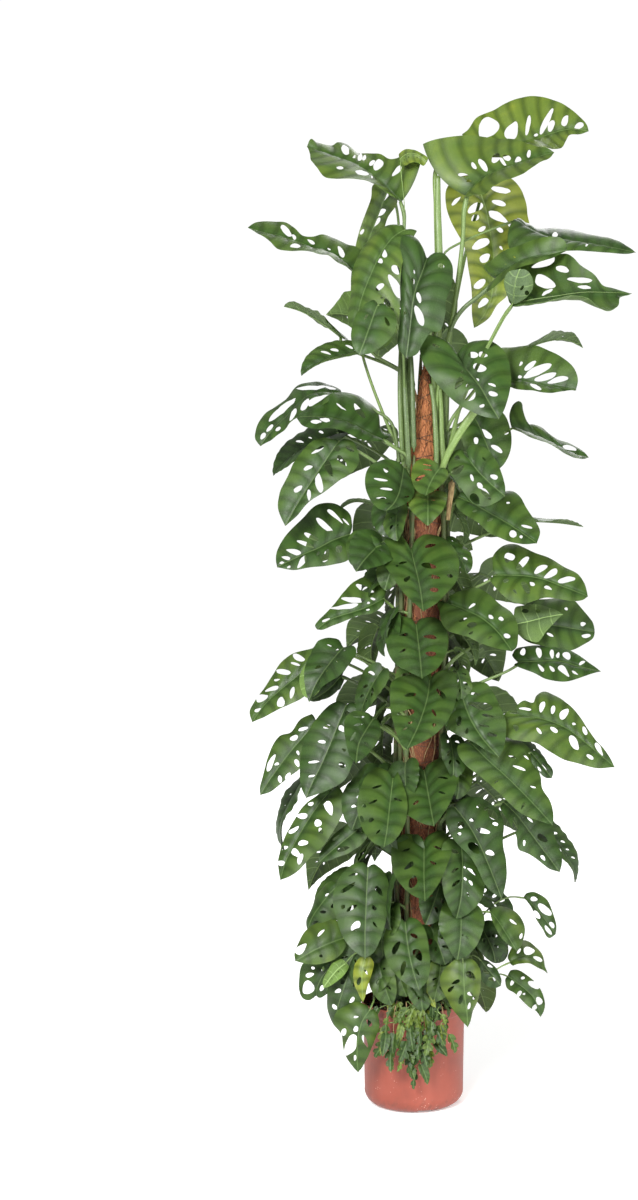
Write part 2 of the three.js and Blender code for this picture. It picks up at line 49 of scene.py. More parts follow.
shot = {
    "frame": (638, 1200),       # the picture's size in pixels
    "focal": 1686.6,            # focal length in the same pixels
    "aside": (94.8, 33.3),      # how far right of and above the middle the level sight line lies
}


def makeCamera():
    data = bpy.data.cameras.new("camera")
    data.sensor_fit = "VERTICAL"
    data.sensor_height = 36
    data.lens = 36 * shot["focal"] / shot["frame"][1]
    data.shift_x = -shot["aside"][0] / shot["frame"][1]
    data.shift_y = -shot["aside"][1] / shot["frame"][1]
    camera = bpy.data.objects.new("camera", data)
    camera.location = (0, -eye["distance"] * mm, eye["height"] * mm)
    camera.rotation_euler = (math.radians(90), 0, 0)
    bpy.context.collection.objects.link(camera)
    bpy.context.scene.camera = camera


makeCamera()
print("camera made")


# Colours and shader nodes

def linear(code):
    channels = [int(code[i:i + 2], 16) / 255 for i in (1, 3, 5)]
    return (*[c / 12.92 if c <= 0.04045 else ((c + 0.055) / 1.055) ** 2.4 for c in channels], 1)


spans = {"from": (1, 2), "to": (3, 4)}     # the sockets of a Map Range node


# A link comes from a socket, or from a node whose result is meant
def addNode(tree, kind, settings=None, links=None):
    node = tree.nodes.new("ShaderNode" + kind)
    for key, value in (settings or {}).items():
        if key == "stops":
            ramp = node.color_ramp.elements
            while len(ramp) < len(value):
                ramp.new(1)
            for element, (place, colour) in zip(ramp, value):
                element.position = place
                element.color = linear(colour)
        elif key in spans:
            for socket, number in zip(spans[key], value):
                node.inputs[socket].default_value = number
        elif isinstance(key, str) and key in node.bl_rna.properties:
            setattr(node, key, value)
        else:
            node.inputs[key].default_value = value
    for key, source in (links or {}).items():
        if isinstance(source, bpy.types.Node):
            source = source.outputs[2 if source.bl_idname == "ShaderNodeMix" else 0]
        tree.links.new(source, node.inputs[key])
    return node


# A new material, and what its nodes read from the mesh: place, tone or vein
def startMaterial(name, *reads):
    material = bpy.data.materials.new(name)
    material.use_nodes = True
    tree = material.node_tree
    tree.nodes.clear()
    found = []
    for read in reads:
        node = addNode(tree, "Attribute", {"attribute_name": read})
        found.append(node.outputs["Vector" if read == "place" else "Fac"])
    return material, tree, *found


def finishMaterial(material, settings, links):
    shader = addNode(material.node_tree, "BsdfPrincipled", settings, links)
    addNode(material.node_tree, "OutputMaterial", {}, {"Surface": shader})
    return material


mixColour = {"data_type": "RGBA"}     # a colour mix: socket 0 is the share of 7 that goes into 6


# Leaf blade, upper face: a waxy cuticle over soft green tissue, so it is fairly smooth and throws
# back a broad pale sheen. Its side veins lie in grooves darkened with painted shade, a band along
# each side of the midrib is darkened with painted shade, its midrib is paler, and it has patches of dust.
leafLooks = {
    "tones": [
        (0.0, "#1b2b11"), (0.25, "#294017"), (0.45, "#3c511d"),
        (0.65, "#546421"), (0.82, "#757e28"), (1.0, "#9ea238"),
    ],
    "underTones": [
        (0.0, "#394a2e"), (0.25, "#40532b"), (0.45, "#485e29"),
        (0.65, "#55722a"), (0.82, "#728933"), (1.0, "#979f41"),
    ],
    "veinColour": "#86a062",     # the underside's veins, and the midrib
    "grooveShade": "#8a9a5c",       # painted shade: what the colour is multiplied by in the side veins' grooves
    "dustColour": "#7d8a72",
    "veinStep": 23.0,       # mm from one side vein to the next
    "midribWidth": 1.3,     # mm
    "innerWidth": 24.0,     # mm on each side of the midrib that are darker: painted shade
    "netSize": 2.6,         # mm across one mesh of the finest veins
    "patchSize": 28.0,      # mm across a darker or lighter patch
    "dustSize": 1.4,        # mm
}


def bladeMaterial(name, tones, roughness, veinPale, ribPale, sunk, dustShare):
    material, tree, place, tone, phase = startMaterial(name, "place", "tone", "vein")
    apart = addNode(tree, "SeparateXYZ", {}, {0: place})
    size = leafLooks["patchSize"]
    patch = addNode(tree, "TexNoise", {"Scale": 1 / size, "Detail": 3}, {"Vector": place})
    shifted = addNode(tree, "Math", {"operation": "MULTIPLY_ADD", 1: 0.32, 2: -0.16}, {0: patch})
    toned = addNode(tree, "Math", {"operation": "ADD"}, {0: tone, 1: shifted})
    fromRib = addNode(tree, "Math", {"operation": "ABSOLUTE"}, {0: apart.outputs["Y"]})
    # Painted shade: the blade is darker near the midrib
    inner = addNode(tree, "MapRange", {"from": (0.0, leafLooks["innerWidth"]), "to": (-0.16, 0.03)},
                    {0: fromRib})
    graded = addNode(tree, "Math", {"operation": "ADD"}, {0: toned, 1: inner})
    ground = addNode(tree, "ValToRGB", {"stops": tones}, {"Fac": graded})

    aside = addNode(tree, "Math", {"operation": "PINGPONG", 1: 0.5}, {0: phase})
    wide = 1.1 / leafLooks["veinStep"]     # a side vein's width, over the step
    lateral = addNode(tree, "MapRange", {"from": (0.25 * wide, 1.5 * wide), "to": (veinPale, 0.0)},
                      {0: aside})
    rib = leafLooks["midribWidth"]
    midrib = addNode(tree, "MapRange", {"from": (0.4 * rib, rib), "to": (ribPale, 0.0)}, {0: fromRib})
    lines = addNode(tree, "Math", {"operation": "MAXIMUM"}, {0: lateral, 1: midrib})
    net = addNode(tree, "TexVoronoi", {"feature": "DISTANCE_TO_EDGE", "Scale": 1 / leafLooks["netSize"]},
                  {"Vector": place})
    netLine = addNode(tree, "MapRange", {"from": (0.0, 0.22), "to": (0.3 * veinPale, 0.0)}, {0: net})
    pale = addNode(tree, "Math", {"operation": "MAXIMUM"}, {0: lateral, 1: netLine})
    # Painted shade: the colour is darkened in the side veins' grooves
    shade = addNode(tree, "MapRange", {"from": (0.0, 0.3), "to": (sunk, 0.0)}, {0: aside})
    deep = addNode(tree, "Mix", {**mixColour, "blend_type": "MULTIPLY", 7: linear(leafLooks["grooveShade"])},
                   {0: shade, 6: ground})
    netted = addNode(tree, "Mix", {**mixColour, 7: linear(leafLooks["veinColour"])}, {0: pale, 6: deep})
    veined = addNode(tree, "Mix", {**mixColour, 7: linear(leafLooks["veinColour"])}, {0: midrib, 6: netted})
    grit = addNode(tree, "TexNoise", {"Scale": 1 / leafLooks["dustSize"], "Detail": 2}, {"Vector": place})
    drift = addNode(tree, "TexNoise", {"Scale": 0.6 / size, "Detail": 2}, {"Vector": place})
    settled = addNode(tree, "Math", {"operation": "MULTIPLY"}, {0: grit, 1: drift})
    dust = addNode(tree, "MapRange", {"from": (0.27, 0.42), "to": (0.0, dustShare)}, {0: settled})
    dusty = addNode(tree, "Mix", {**mixColour, 7: linear(leafLooks["dustColour"])}, {0: dust, 6: veined})
    rough = addNode(tree, "MapRange", {"from": (0.3, 0.7), "to": (roughness - 0.07, roughness + 0.1)},
                    {0: drift})
    relief = addNode(tree, "Math", {"operation": "MULTIPLY_ADD", 1: 0.6}, {0: net, 2: patch})
    grooved = addNode(tree, "Math", {"operation": "MULTIPLY_ADD", 1: -0.8}, {0: lines, 2: relief})
    bump = addNode(tree, "Bump", {"Strength": 0.6, "Distance": 0.0008}, {"Height": grooved})
    return finishMaterial(material, {"IOR": 1.45, "Specular IOR Level": 0.3},
                          {"Base Color": dusty, "Roughness": rough, "Normal": bump})


leafUpper = bladeMaterial("leaf_waxy_upper", leafLooks["tones"], 0.44, 0.04, 0.18, 0.75, 0.08)
# Underside: no wax and stomata everywhere, so it is duller and greyer, and its veins stand out
leafUnder = bladeMaterial("leaf_matt_under", leafLooks["underTones"], 0.6, 0.36, 0.7, 0.1, 0.0)


# Stalk: green skin with fine lengthwise strands and pale flecks, a soft gloss along its ridge
stalkLooks = {
    "tones": [(0.0, "#3a4c26"), (0.5, "#5c7238"), (1.0, "#8b9f5c")],
    "fleckColour": "#a3b380",
    "strandWidth": 1.2,     # mm
    "fleckSize": 2.2,       # mm
}


def stalkMaterial():
    material, tree, place, tone = startMaterial("stalk_green_skin", "place", "tone")
    drawn = addNode(tree, "Mapping", {"Scale": (0.06, 1.0, 1.0)}, {"Vector": place})
    strands = addNode(tree, "TexNoise", {"Scale": 1 / stalkLooks["strandWidth"], "Detail": 3},
                      {"Vector": drawn})
    shifted = addNode(tree, "Math", {"operation": "MULTIPLY_ADD", 1: 0.5, 2: -0.25}, {0: strands})
    toned = addNode(tree, "Math", {"operation": "ADD"}, {0: tone, 1: shifted})
    ground = addNode(tree, "ValToRGB", {"stops": stalkLooks["tones"]}, {"Fac": toned})
    flecks = addNode(tree, "TexVoronoi", {"Scale": 1 / stalkLooks["fleckSize"]}, {"Vector": place})
    spot = addNode(tree, "MapRange", {"from": (0.12, 0.25), "to": (0.5, 0.0)}, {0: flecks})
    spotted = addNode(tree, "Mix", {**mixColour, 7: linear(stalkLooks["fleckColour"])},
                      {0: spot, 6: ground})
    rough = addNode(tree, "MapRange", {"from": (0.3, 0.7), "to": (0.38, 0.55)}, {0: strands})
    bump = addNode(tree, "Bump", {"Strength": 0.5, "Distance": 0.0004}, {"Height": strands})
    return finishMaterial(material, {"IOR": 1.45},
                          {"Base Color": spotted, "Roughness": rough, "Normal": bump})


# Climbing stem: older green bark with corky brown rings and scars, dull, its grains darkened with painted
# shade
stemLooks = {
    "green": "#33481f", "olive": "#4a5429", "cork": "#574530",
    "grainShade": "#8a8268",     # painted shade: what the colour is multiplied by on the grains
    "patch": 14.0,          # mm across a patch of cork
    "grain": 1.6,           # mm across a grain
}


def stemMaterial():
    material, tree, place = startMaterial("stem_corky_green", "place")
    patch = addNode(tree, "TexNoise", {"Scale": 1 / stemLooks["patch"], "Detail": 4}, {"Vector": place})
    grain = addNode(tree, "TexNoise", {"Scale": 1 / stemLooks["grain"], "Detail": 2}, {"Vector": place})
    stops = [(0.3, stemLooks["green"]), (0.55, stemLooks["olive"]), (0.72, stemLooks["cork"])]
    ground = addNode(tree, "ValToRGB", {"stops": stops}, {"Fac": patch})
    # Painted shade: the colour is darkened on the grains
    dark = addNode(tree, "MapRange", {"from": (0.4, 0.7), "to": (0.0, 0.5)}, {0: grain})
    mixed = addNode(tree, "Mix", {**mixColour, "blend_type": "MULTIPLY", 7: linear(stemLooks["grainShade"])},
                    {0: dark, 6: ground})
    rough = addNode(tree, "MapRange", {"from": (0.3, 0.7), "to": (0.5, 0.75)}, {0: patch})
    bump = addNode(tree, "Bump", {"Strength": 0.6, "Distance": 0.0006}, {"Height": grain})
    return finishMaterial(material, {"IOR": 1.45},
                          {"Base Color": mixed, "Roughness": rough, "Normal": bump})


# Aerial root and dry sheath: papery brown skin, quite dull, streaked along its length
rootLooks = {"dark": "#5b4128", "pale": "#b09a6a", "streak": 1.0}


def rootMaterial():
    material, tree, place = startMaterial("root_dry_skin", "place")
    drawn = addNode(tree, "Mapping", {"Scale": (0.12, 1.0, 1.0)}, {"Vector": place})
    streak = addNode(tree, "TexNoise", {"Scale": 1 / rootLooks["streak"], "Detail": 3}, {"Vector": drawn})
    stops = [(0.3, rootLooks["dark"]), (0.75, rootLooks["pale"])]
    ground = addNode(tree, "ValToRGB", {"stops": stops}, {"Fac": streak})
    bump = addNode(tree, "Bump", {"Strength": 0.6, "Distance": 0.0005}, {"Height": streak})
    return finishMaterial(material, {"IOR": 1.45, "Roughness": 0.8}, {"Base Color": ground, "Normal": bump})


greenery = [leafUpper, leafUnder, stalkMaterial(), stemMaterial(), rootMaterial()]
upperFace, underFace, stalkFace, stemFace, rootFace = range(5)
print("leaf, stalk, stem and root materials made")


# Points and curves

def point(x, y, z):
    return np.array([x, y, z], dtype=float)


def unit(vector):
    return vector / np.linalg.norm(vector)


# Where a point seen in that plane at x and z really is, when it lies y behind the pole
def seen(x, z, y):
    spread = (eye["distance"] + y) / eye["distance"]
    height = eye["height"] + (z + eye["planeZero"] - eye["height"]) * spread
    return point(x * spread, y, height)


# Where a point at the picture's pixel (px, py) really is, when it lies y behind the pole
def atPixel(px, py, y):
    spread = (eye["distance"] + y) / shot["focal"]
    right = px - shot["frame"][0] / 2 - shot["aside"][0]
    up = shot["frame"][1] / 2 - shot["aside"][1] - py
    return point(right * spread, y, eye["height"] + up * spread)


# The pixels at which points are seen
def pixelsOf(points):
    depth = eye["distance"] + points[:, 1]
    px = points[:, 0] / depth * shot["focal"] + shot["frame"][0] / 2 + shot["aside"][0]
    py = shot["frame"][1] / 2 - shot["aside"][1] - (points[:, 2] - eye["height"]) / depth * shot["focal"]
    return px, py


# A smooth curve through points, sampled evenly in each stretch
def curveThrough(points, samples):
    points = [np.array(p, dtype=float) for p in points]
    points = [2 * points[0] - points[1], *points, 2 * points[-1] - points[-2]]
    rows = []
    for a, b, c, d in zip(points, points[1:], points[2:], points[3:]):
        steps = [max(np.linalg.norm(q - p), 1e-6) ** 0.5 for p, q in ((a, b), (b, c), (c, d))]
        knots = np.cumsum([0] + steps)
        t = np.linspace(knots[1], knots[2], samples, endpoint=False)[:, None]

        def blend(left, right, start, stop):
            return ((stop - t) * left + (t - start) * right) / (stop - start)

        low = blend(blend(a, b, knots[0], knots[1]), blend(b, c, knots[1], knots[2]), knots[0], knots[2])
        high = blend(blend(b, c, knots[1], knots[2]), blend(c, d, knots[2], knots[3]), knots[1], knots[3])
        rows.append(blend(low, high, knots[1], knots[2]))
    rows.append(points[-2][None, :])
    return np.concatenate(rows)


def bezier(a, b, c, d, samples):
    t = np.linspace(0, 1, samples)[:, None]
    return (1 - t) ** 3 * a + 3 * t * (1 - t) ** 2 * b + 3 * t * t * (1 - t) * c + t ** 3 * d


def lengthAlong(path):
    return np.concatenate([[0], np.cumsum(np.linalg.norm(np.diff(path, axis=0), axis=1))])


def evenly(path, spacing):
    along = lengthAlong(path)
    count = max(2, int(round(along[-1] / spacing)) + 1)
    stations = np.linspace(0, along[-1], count)
    return np.stack([np.interp(stations, along, path[:, k]) for k in range(path.shape[1])], axis=1)


# An even curve through pixels that each have a depth
def pixelCurve(pixels, samples, spacing):
    return evenly(curveThrough([atPixel(*p) for p in pixels], samples), spacing)


# The points at some shares of a path's length
def atShare(path, share):
    along = lengthAlong(path)
    return np.stack([np.interp(share * along[-1], along, path[:, k]) for k in range(3)], axis=-1)


def pick(draw, span):
    return span[0] + (span[1] - span[0]) * draw.random()


# A heap gathers the parts of one piece: vertices, triangles, what each triangle is made of, and
# what its materials read: a place in millimetres, the side vein it lies by, and its tone
def newHeap():
    return {"co": [], "tri": [], "made": [], "place": [], "vein": [], "tone": [], "crease": [], "count": 0}


def pile(heap, co, tri, made, place, vein, tone, crease=None):
    start = heap["count"]
    heap["co"].append(co)
    heap["tri"].append(np.asarray(tri) + start)
    heap["made"].append(np.broadcast_to(made, len(tri)))
    heap["place"].append(place)
    heap["vein"].append(np.broadcast_to(vein, len(co)))
    heap["tone"].append(np.broadcast_to(tone, len(co)))
    if crease is not None:
        heap["crease"].append(np.asarray(crease) + start)
    heap["count"] += len(co)


# Joins rings into a skin that looks outward when they run counterclockwise seen from outside
def ringFaces(rows, sides):
    ring = np.arange(sides)
    after = (ring + 1) % sides
    tri = []
    for i in range(rows - 1):
        low, high = i * sides, (i + 1) * sides
        tri.append(np.stack([low + ring, low + after, high + after], axis=1))
        tri.append(np.stack([low + ring, high + after, high + ring], axis=1))
    return np.concatenate(tri)


# The same with both ends closed round two middle points that follow the rings
def tubeFaces(rows, sides):
    ring = np.arange(sides)
    after = (ring + 1) % sides
    last = (rows - 1) * sides
    low = np.stack([np.full(sides, rows * sides), after, ring], axis=1)
    high = np.stack([np.full(sides, rows * sides + 1), last + ring, last + after], axis=1)
    return np.concatenate([ringFaces(rows, sides), low, high])


# A round tube along a path. Ridge is how far two wings stand out of it, over its radius, and broad
# how much wider it is across than deep. Each may change along the path.
def addTube(heap, path, radius, made, tone, sides=8, ridge=0.0, seed=0.0, broad=1.0):
    count = len(path)
    radius = np.broadcast_to(radius, count)
    tangents = np.gradient(path, axis=0)
    tangents /= np.linalg.norm(tangents, axis=1)[:, None]
    first = point(0, -1, 0) if abs(tangents[0][1]) < 0.9 else point(0, 0, 1)
    frames = []
    for tangent in tangents:
        first = unit(first - tangent * first.dot(tangent))
        frames.append((first, np.cross(tangent, first)))
    turn = np.linspace(0, 2 * math.pi, sides, endpoint=False)
    ridges = np.broadcast_to(ridge, count)
    widths = np.broadcast_to(broad, count)
    rings = []
    wings = np.exp(-((turn - 0.7) / 0.4) ** 2) + np.exp(-((turn - 5.58) / 0.4) ** 2)     # radians
    for centre, size, wing, wide, (a, b) in zip(path, radius, ridges, widths, frames):
        out = size * (1 + wing * wings)
        rings.append(centre + np.outer(out * np.cos(turn), a) + np.outer(wide * out * np.sin(turn), b))
    along = lengthAlong(path)
    co = np.concatenate([*rings, path[:1], path[-1:]])
    size = float(radius.max())
    place = np.stack([
        np.repeat(along, sides),
        np.tile(size * np.cos(turn), count),
        np.tile(size * np.sin(turn) + seed, count),
    ], axis=1)
    ends = np.array([[along[0], 0, seed], [along[-1], 0, seed]])
    pile(heap, co, tubeFaces(count, sides), made, np.concatenate([place, ends]), 0.0, tone)


def makePiece(name, heap, materials, slot, *nodes):
    co = np.concatenate(heap["co"]) * mm
    tri = np.concatenate(heap["tri"])
    mesh = bpy.data.meshes.new(name)
    mesh.vertices.add(len(co))
    mesh.vertices.foreach_set("co", co.ravel())
    mesh.loops.add(3 * len(tri))
    mesh.loops.foreach_set("vertex_index", tri.ravel())
    mesh.polygons.add(len(tri))
    mesh.polygons.foreach_set("loop_start", np.arange(0, 3 * len(tri), 3))
    mesh.polygons.foreach_set("material_index", np.concatenate(heap["made"]).astype(np.int32))
    mesh.update(calc_edges=True)
    mesh.shade_smooth()
    for label, kind, values in (
        ("place", "FLOAT_VECTOR", np.concatenate(heap["place"]).ravel()),
        ("vein", "FLOAT", np.concatenate(heap["vein"])),
        ("tone", "FLOAT", np.concatenate(heap["tone"])),
    ):
        layer = mesh.attributes.new(label, kind, "POINT")
        layer.data.foreach_set("vector" if kind == "FLOAT_VECTOR" else "value", values.astype(np.float32))
    if heap["crease"]:
        pairs = np.sort(np.concatenate(heap["crease"]), axis=1)
        edges = np.empty(2 * len(mesh.edges), dtype=np.int64)
        mesh.edges.foreach_get("vertices", edges)
        edges = np.sort(edges.reshape(-1, 2), axis=1)
        sharp = np.isin(edges @ [len(co), 1], pairs @ [len(co), 1])
        mesh.attributes.new("sharp_edge", "BOOLEAN", "EDGE").data.foreach_set("value", sharp)
    for material in materials:
        mesh.materials.append(material)
    piece = bpy.data.objects.new(name, mesh)
    bpy.context.collection.objects.link(piece)
    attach(piece, "root")
    if nodes:
        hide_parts(*nodes)
    return piece


# Pole

pole = {
    "footX": 4, "lean": 0.0125, "radius": 35, "footZ": 20,
    "shoulderZ": 1040, "tipZ": 1318,
}


def poleAxis(z):
    z = np.asarray(z, dtype=float)
    return np.stack([pole["footX"] + pole["lean"] * z, 0 * z, z], axis=-1)


def poleRadiusAt(z):
    taper = np.clip((z - pole["shoulderZ"]) / (pole["tipZ"] - pole["shoulderZ"]), 0, 1)
    return pole["radius"] * (1 - taper) ** 0.8


# Blades are given in three ways: plain rows, drawn rows and sketched rows. A plain row: its tone
# (0 old and dark, 1 young and yellow), where its stalk meets it (x, height, y), where its tip is
# (x, height, y), its width, tilt (0 faces the eye, 90 the sky, 180 away), fold (how far both halves
# rise from the midrib), bow (how far the midrib arches, over its length), and how open its holes
# are, from 0 to 4.

blades = {
    "thickness": 0.6,
    "crown": 0.07,            # how far each half swells, over the half width
    "ripple": 0.06,           # how far the margin waves, over the half width
    "rippleCount": 9,
    "frill": 0.9,             # mm, a finer wave of the margin
    "grid": 3.1,   # mm between the points along an edge
    "inner": 1.26,            # how much wider apart they stand inside the blade
    "shares": 80,             # samples of a drawn blade's width from stalk to tip
    "quilt": 2.0,             # mm that the blade stands up between two side veins
    "groove": 1.1,            # mm that the midrib is sunk into the upper face
    "ribRadius": 1.5,         # mm, the midrib's ridge under the blade
    "holeOpen": [0.14, 0.34, 0.5, 0.62, 0.74],   # share of the space between veins, by openness
    "holeStart": 0.15,        # where a hole starts and ends, over the way from midrib to margin
    "holeEnd": [0.46, 0.62, 0.7, 0.76, 0.8],
}

# Half of the outline from stalk to tip, as (share of the length, share of the half width)
heartOutline = [
    (0, 0), (-0.03, 0.07), (-0.08, 0.2), (-0.1, 0.38), (-0.07, 0.64), (0.02, 0.87), (0.15, 0.98),
    (0.32, 1.0), (0.5, 0.96), (0.67, 0.84), (0.82, 0.62), (0.92, 0.38), (0.975, 0.18), (1, 0),
]
# A longer leaf, widest nearer to its stalk
longOutline = [
    (0, 0), (-0.02, 0.1), (-0.06, 0.26), (-0.06, 0.5), (0.0, 0.76), (0.11, 0.94), (0.25, 1.0),
    (0.42, 0.95), (0.58, 0.8), (0.73, 0.58), (0.85, 0.34), (0.94, 0.14), (1, 0),
]
# A trailing leaf is narrow, and its margin is cut in where its holes have broken through
cutOutline = [
    (0, 0), (0.02, 0.25), (0.09, 0.66), (0.2, 0.92), (0.34, 1.0), (0.4, 0.72), (0.37, 0.42), (0.43, 0.34),
    (0.5, 0.55), (0.58, 0.8), (0.7, 0.82), (0.76, 0.6), (0.74, 0.4), (0.8, 0.36), (0.87, 0.42), (1, 0),
]

# A side vein leaves the midrib at 0.9 of its number's share and curves toward the tip; the lowest
# ones curve back into the lobes
veinFan = {"reach": 0.9, "back": 0.35, "forward": 0.78, "turn": 0.12, "bend": 1.25}


def veinU(blade, share, v):
    if "rib" in blade:
        return share + 0 * v
    drift = -veinFan["back"] + veinFan["forward"] * share / (share + veinFan["turn"])
    return veinFan["reach"] * share + drift * np.abs(v) ** veinFan["bend"]


def veinShare(blade, u, v):
    if "rib" in blade:
        return u
    reach, turn = veinFan["reach"], veinFan["turn"]
    out = np.abs(v) ** veinFan["bend"]
    base = u + veinFan["back"] * out
    half = base - reach * turn - veinFan["forward"] * out
    return (half + np.sqrt(np.maximum(half * half + 4 * reach * turn * base, 0))) / (2 * reach)


def bladeBetween(base, tip, normal, width, tone, fold, bow, holes, phase):
    along = tip - base
    length = np.linalg.norm(along)
    along /= length
    normal = unit(normal - along * normal.dot(along))
    return {
        "base": base, "along": along, "normal": normal, "side": np.cross(along, normal),
        "length": length, "half": width / 2, "fold": fold, "bow": bow, "holes": holes,
        "phase": phase, "tone": tone,
        "twist": 14 * math.sin(3.1 * phase), "nod": 0.08 + 0.07 * math.sin(5.3 * phase),
        "ruffle": 1.2 + 0.7 * math.sin(7.7 * phase),
    }


def bladeOf(row, phase):
    tone, baseX, baseZ, baseY, tipX, tipZ, tipY, width, tilt, fold, bow, holes = row
    base = seen(baseX, baseZ, baseY)
    along = seen(tipX, tipZ, tipY) - base
    length = np.linalg.norm(along)
    along /= length
    facing = point(0, -1, 0)
    facing = unit(facing - along * facing.dot(along))
    across = np.cross(along, facing)
    if across.dot(point(0.4 * (math.copysign(1, baseX + tipX) if baseX + tipX else 1), 0, 1)) < 0:
        across = -across
    angle = math.radians(tilt)
    normal = facing * math.cos(angle) + across * math.sin(angle)
    return bladeBetween(base, base + along * length, normal, width, tone, fold, bow, holes, phase)


# A drawn blade: its midrib and both margins are given in the picture, each point with its depth,
# and the half between them swells. Its margins run from the outer end of the notch at its stalk to
# its tip. The right half is the one at the right when the upper face is seen with the tip up.
def drawnBlade(plan, phase):
    rib = pixelCurve(plan["rib"], 8, 2.5)
    margins = {1: plan["right"], -1: plan["left"]}
    edges = {side: pixelCurve([*margins[side], plan["rib"][-1]], 8, 2.5) for side in margins}
    shares = np.linspace(0, 1, blades["shares"])
    widths = {side: np.linalg.norm(atShare(edges[side], shares) - atShare(rib, shares), axis=1)
              for side in edges}
    along = unit(atShare(rib, 0.08) - rib[0])
    across = atShare(edges[1], 0.1) - atShare(edges[-1], 0.1)
    return {
        "rib": rib, "edges": edges, "shares": shares, "widths": widths, "tone": plan["tone"],
        "length": lengthAlong(rib)[-1], "half": max(widths[1].max(), widths[-1].max()),
        "base": rib[0], "along": along, "normal": unit(np.cross(across, along)),
        "holes": 0, "drawnHoles": plan["holes"], "phase": phase, "crown": plan["crown"],
        "flip": plan["flip"],
    }


# What a drawn row says (see crownRight)
def drawnPlan(row):
    tone, stout, stalkTone, crown, root, stalk, rib, right, left, *holes = row
    return {
        "tone": abs(tone), "flip": tone < 0, "stout": stout, "stalkTone": stalkTone, "crown": crown,
        "root": root, "stalk": stalk, "rib": rib, "right": right, "left": left,
        "holes": holes[0] if holes else None,
    }


def drawnAt(blade, u, v):
    away = np.abs(v)
    sign = np.where(v < 0, -1, 1)
    u = np.clip(u, 0, 1)
    middle = atShare(blade["rib"], u)
    edge = np.where((v < 0)[:, None], atShare(blade["edges"][-1], u), atShare(blade["edges"][1], u))
    out = edge - middle
    wide = np.linalg.norm(out, axis=1)
    ahead = atShare(blade["rib"], np.minimum(u + 0.04, 1)) - atShare(blade["rib"], np.maximum(u - 0.04, 0))
    ahead /= np.linalg.norm(ahead, axis=1)[:, None]
    normal = np.cross(sign[:, None] * out, ahead)
    normal /= np.maximum(np.linalg.norm(normal, axis=1), 1e-9)[:, None]
    hump = 4 * away * (1 - away)
    wave = 0.035 * away ** 2 * np.sin(blades["rippleCount"] * 1.6 * u + blade["phase"] + 2 * v)
    lift = wide * (blade["crown"] * hump + wave)
    return middle + out * away[:, None] - ahead * (0.1 * hump * wide)[:, None] + normal * lift[:, None]


def bladeAt(blade, u, v):
    if "rib" in blade:
        return drawnAt(blade, u, v)
    away = np.abs(v)
    out = away * blade["half"]
    swell = 4 * blades["crown"] * blade["half"] * away * (1 - away)
    wave = blades["ripple"] * blade["half"] * v * v
    wave = wave * blade["ruffle"] * np.sin(blades["rippleCount"] * u + blade["phase"] + v)
    nod = blade["nod"] * blade["length"] * np.clip((u - 0.6) / 0.4, 0, 1.5) ** 2
    frill = blades["frill"] * away ** 5 * np.sin(43 * u + 3 * blade["phase"] + 2 * v)
    arch = 4 * blade["bow"] * blade["length"] * u * (1 - u)
    rise = np.radians(blade["fold"] + np.sign(v) * blade["twist"] * (u - 0.4))
    lift = arch + out * np.sin(rise) + swell + wave + frill - nod
    return (blade["base"] + np.outer(u * blade["length"], blade["along"])
            + np.outer(np.sign(v) * out * np.cos(rise), blade["side"]) + np.outer(lift, blade["normal"]))


def bladeNormals(blade, u, v):
    step = 0.01
    if "rib" in blade:
        u = np.clip(u, 0.02, 0.96)
    alongU = bladeAt(blade, u + step, v) - bladeAt(blade, u - step, v)
    alongV = bladeAt(blade, u, v + step) - bladeAt(blade, u, v - step)
    normals = np.cross(alongV, alongU)
    return normals / np.linalg.norm(normals, axis=1)[:, None]


# How wide the half of a blade is on which v lies
def halfAt(blade, u, v):
    if "rib" not in blade:
        return blade["half"]
    left, right = [np.interp(u, blade["shares"], blade["widths"][side]) for side in (-1, 1)]
    return np.maximum(np.where(v < 0, left, right), 0.8)


# A blade laid flat, in millimetres, and back to its shares
def laidFlat(blade, u, v):
    return np.stack([u * blade["length"], v * halfAt(blade, u, v)], axis=-1)


def sharesOf(blade, flat):
    u = flat[:, 0] / blade["length"]
    return u, flat[:, 1] / halfAt(blade, u, flat[:, 1])


# Which points lie inside a closed outline
def inside(points, outline):
    x, y = points[:, :1], points[:, 1:]
    ax, ay = outline[:, 0], outline[:, 1]
    bx, by = np.roll(ax, -1), np.roll(ay, -1)
    between = (ay > y) != (by > y)
    with np.errstate(divide="ignore", invalid="ignore"):
        crossing = x < (bx - ax) * (y - ay) / (by - ay) + ax
    return (between & crossing).sum(axis=1) % 2 == 1


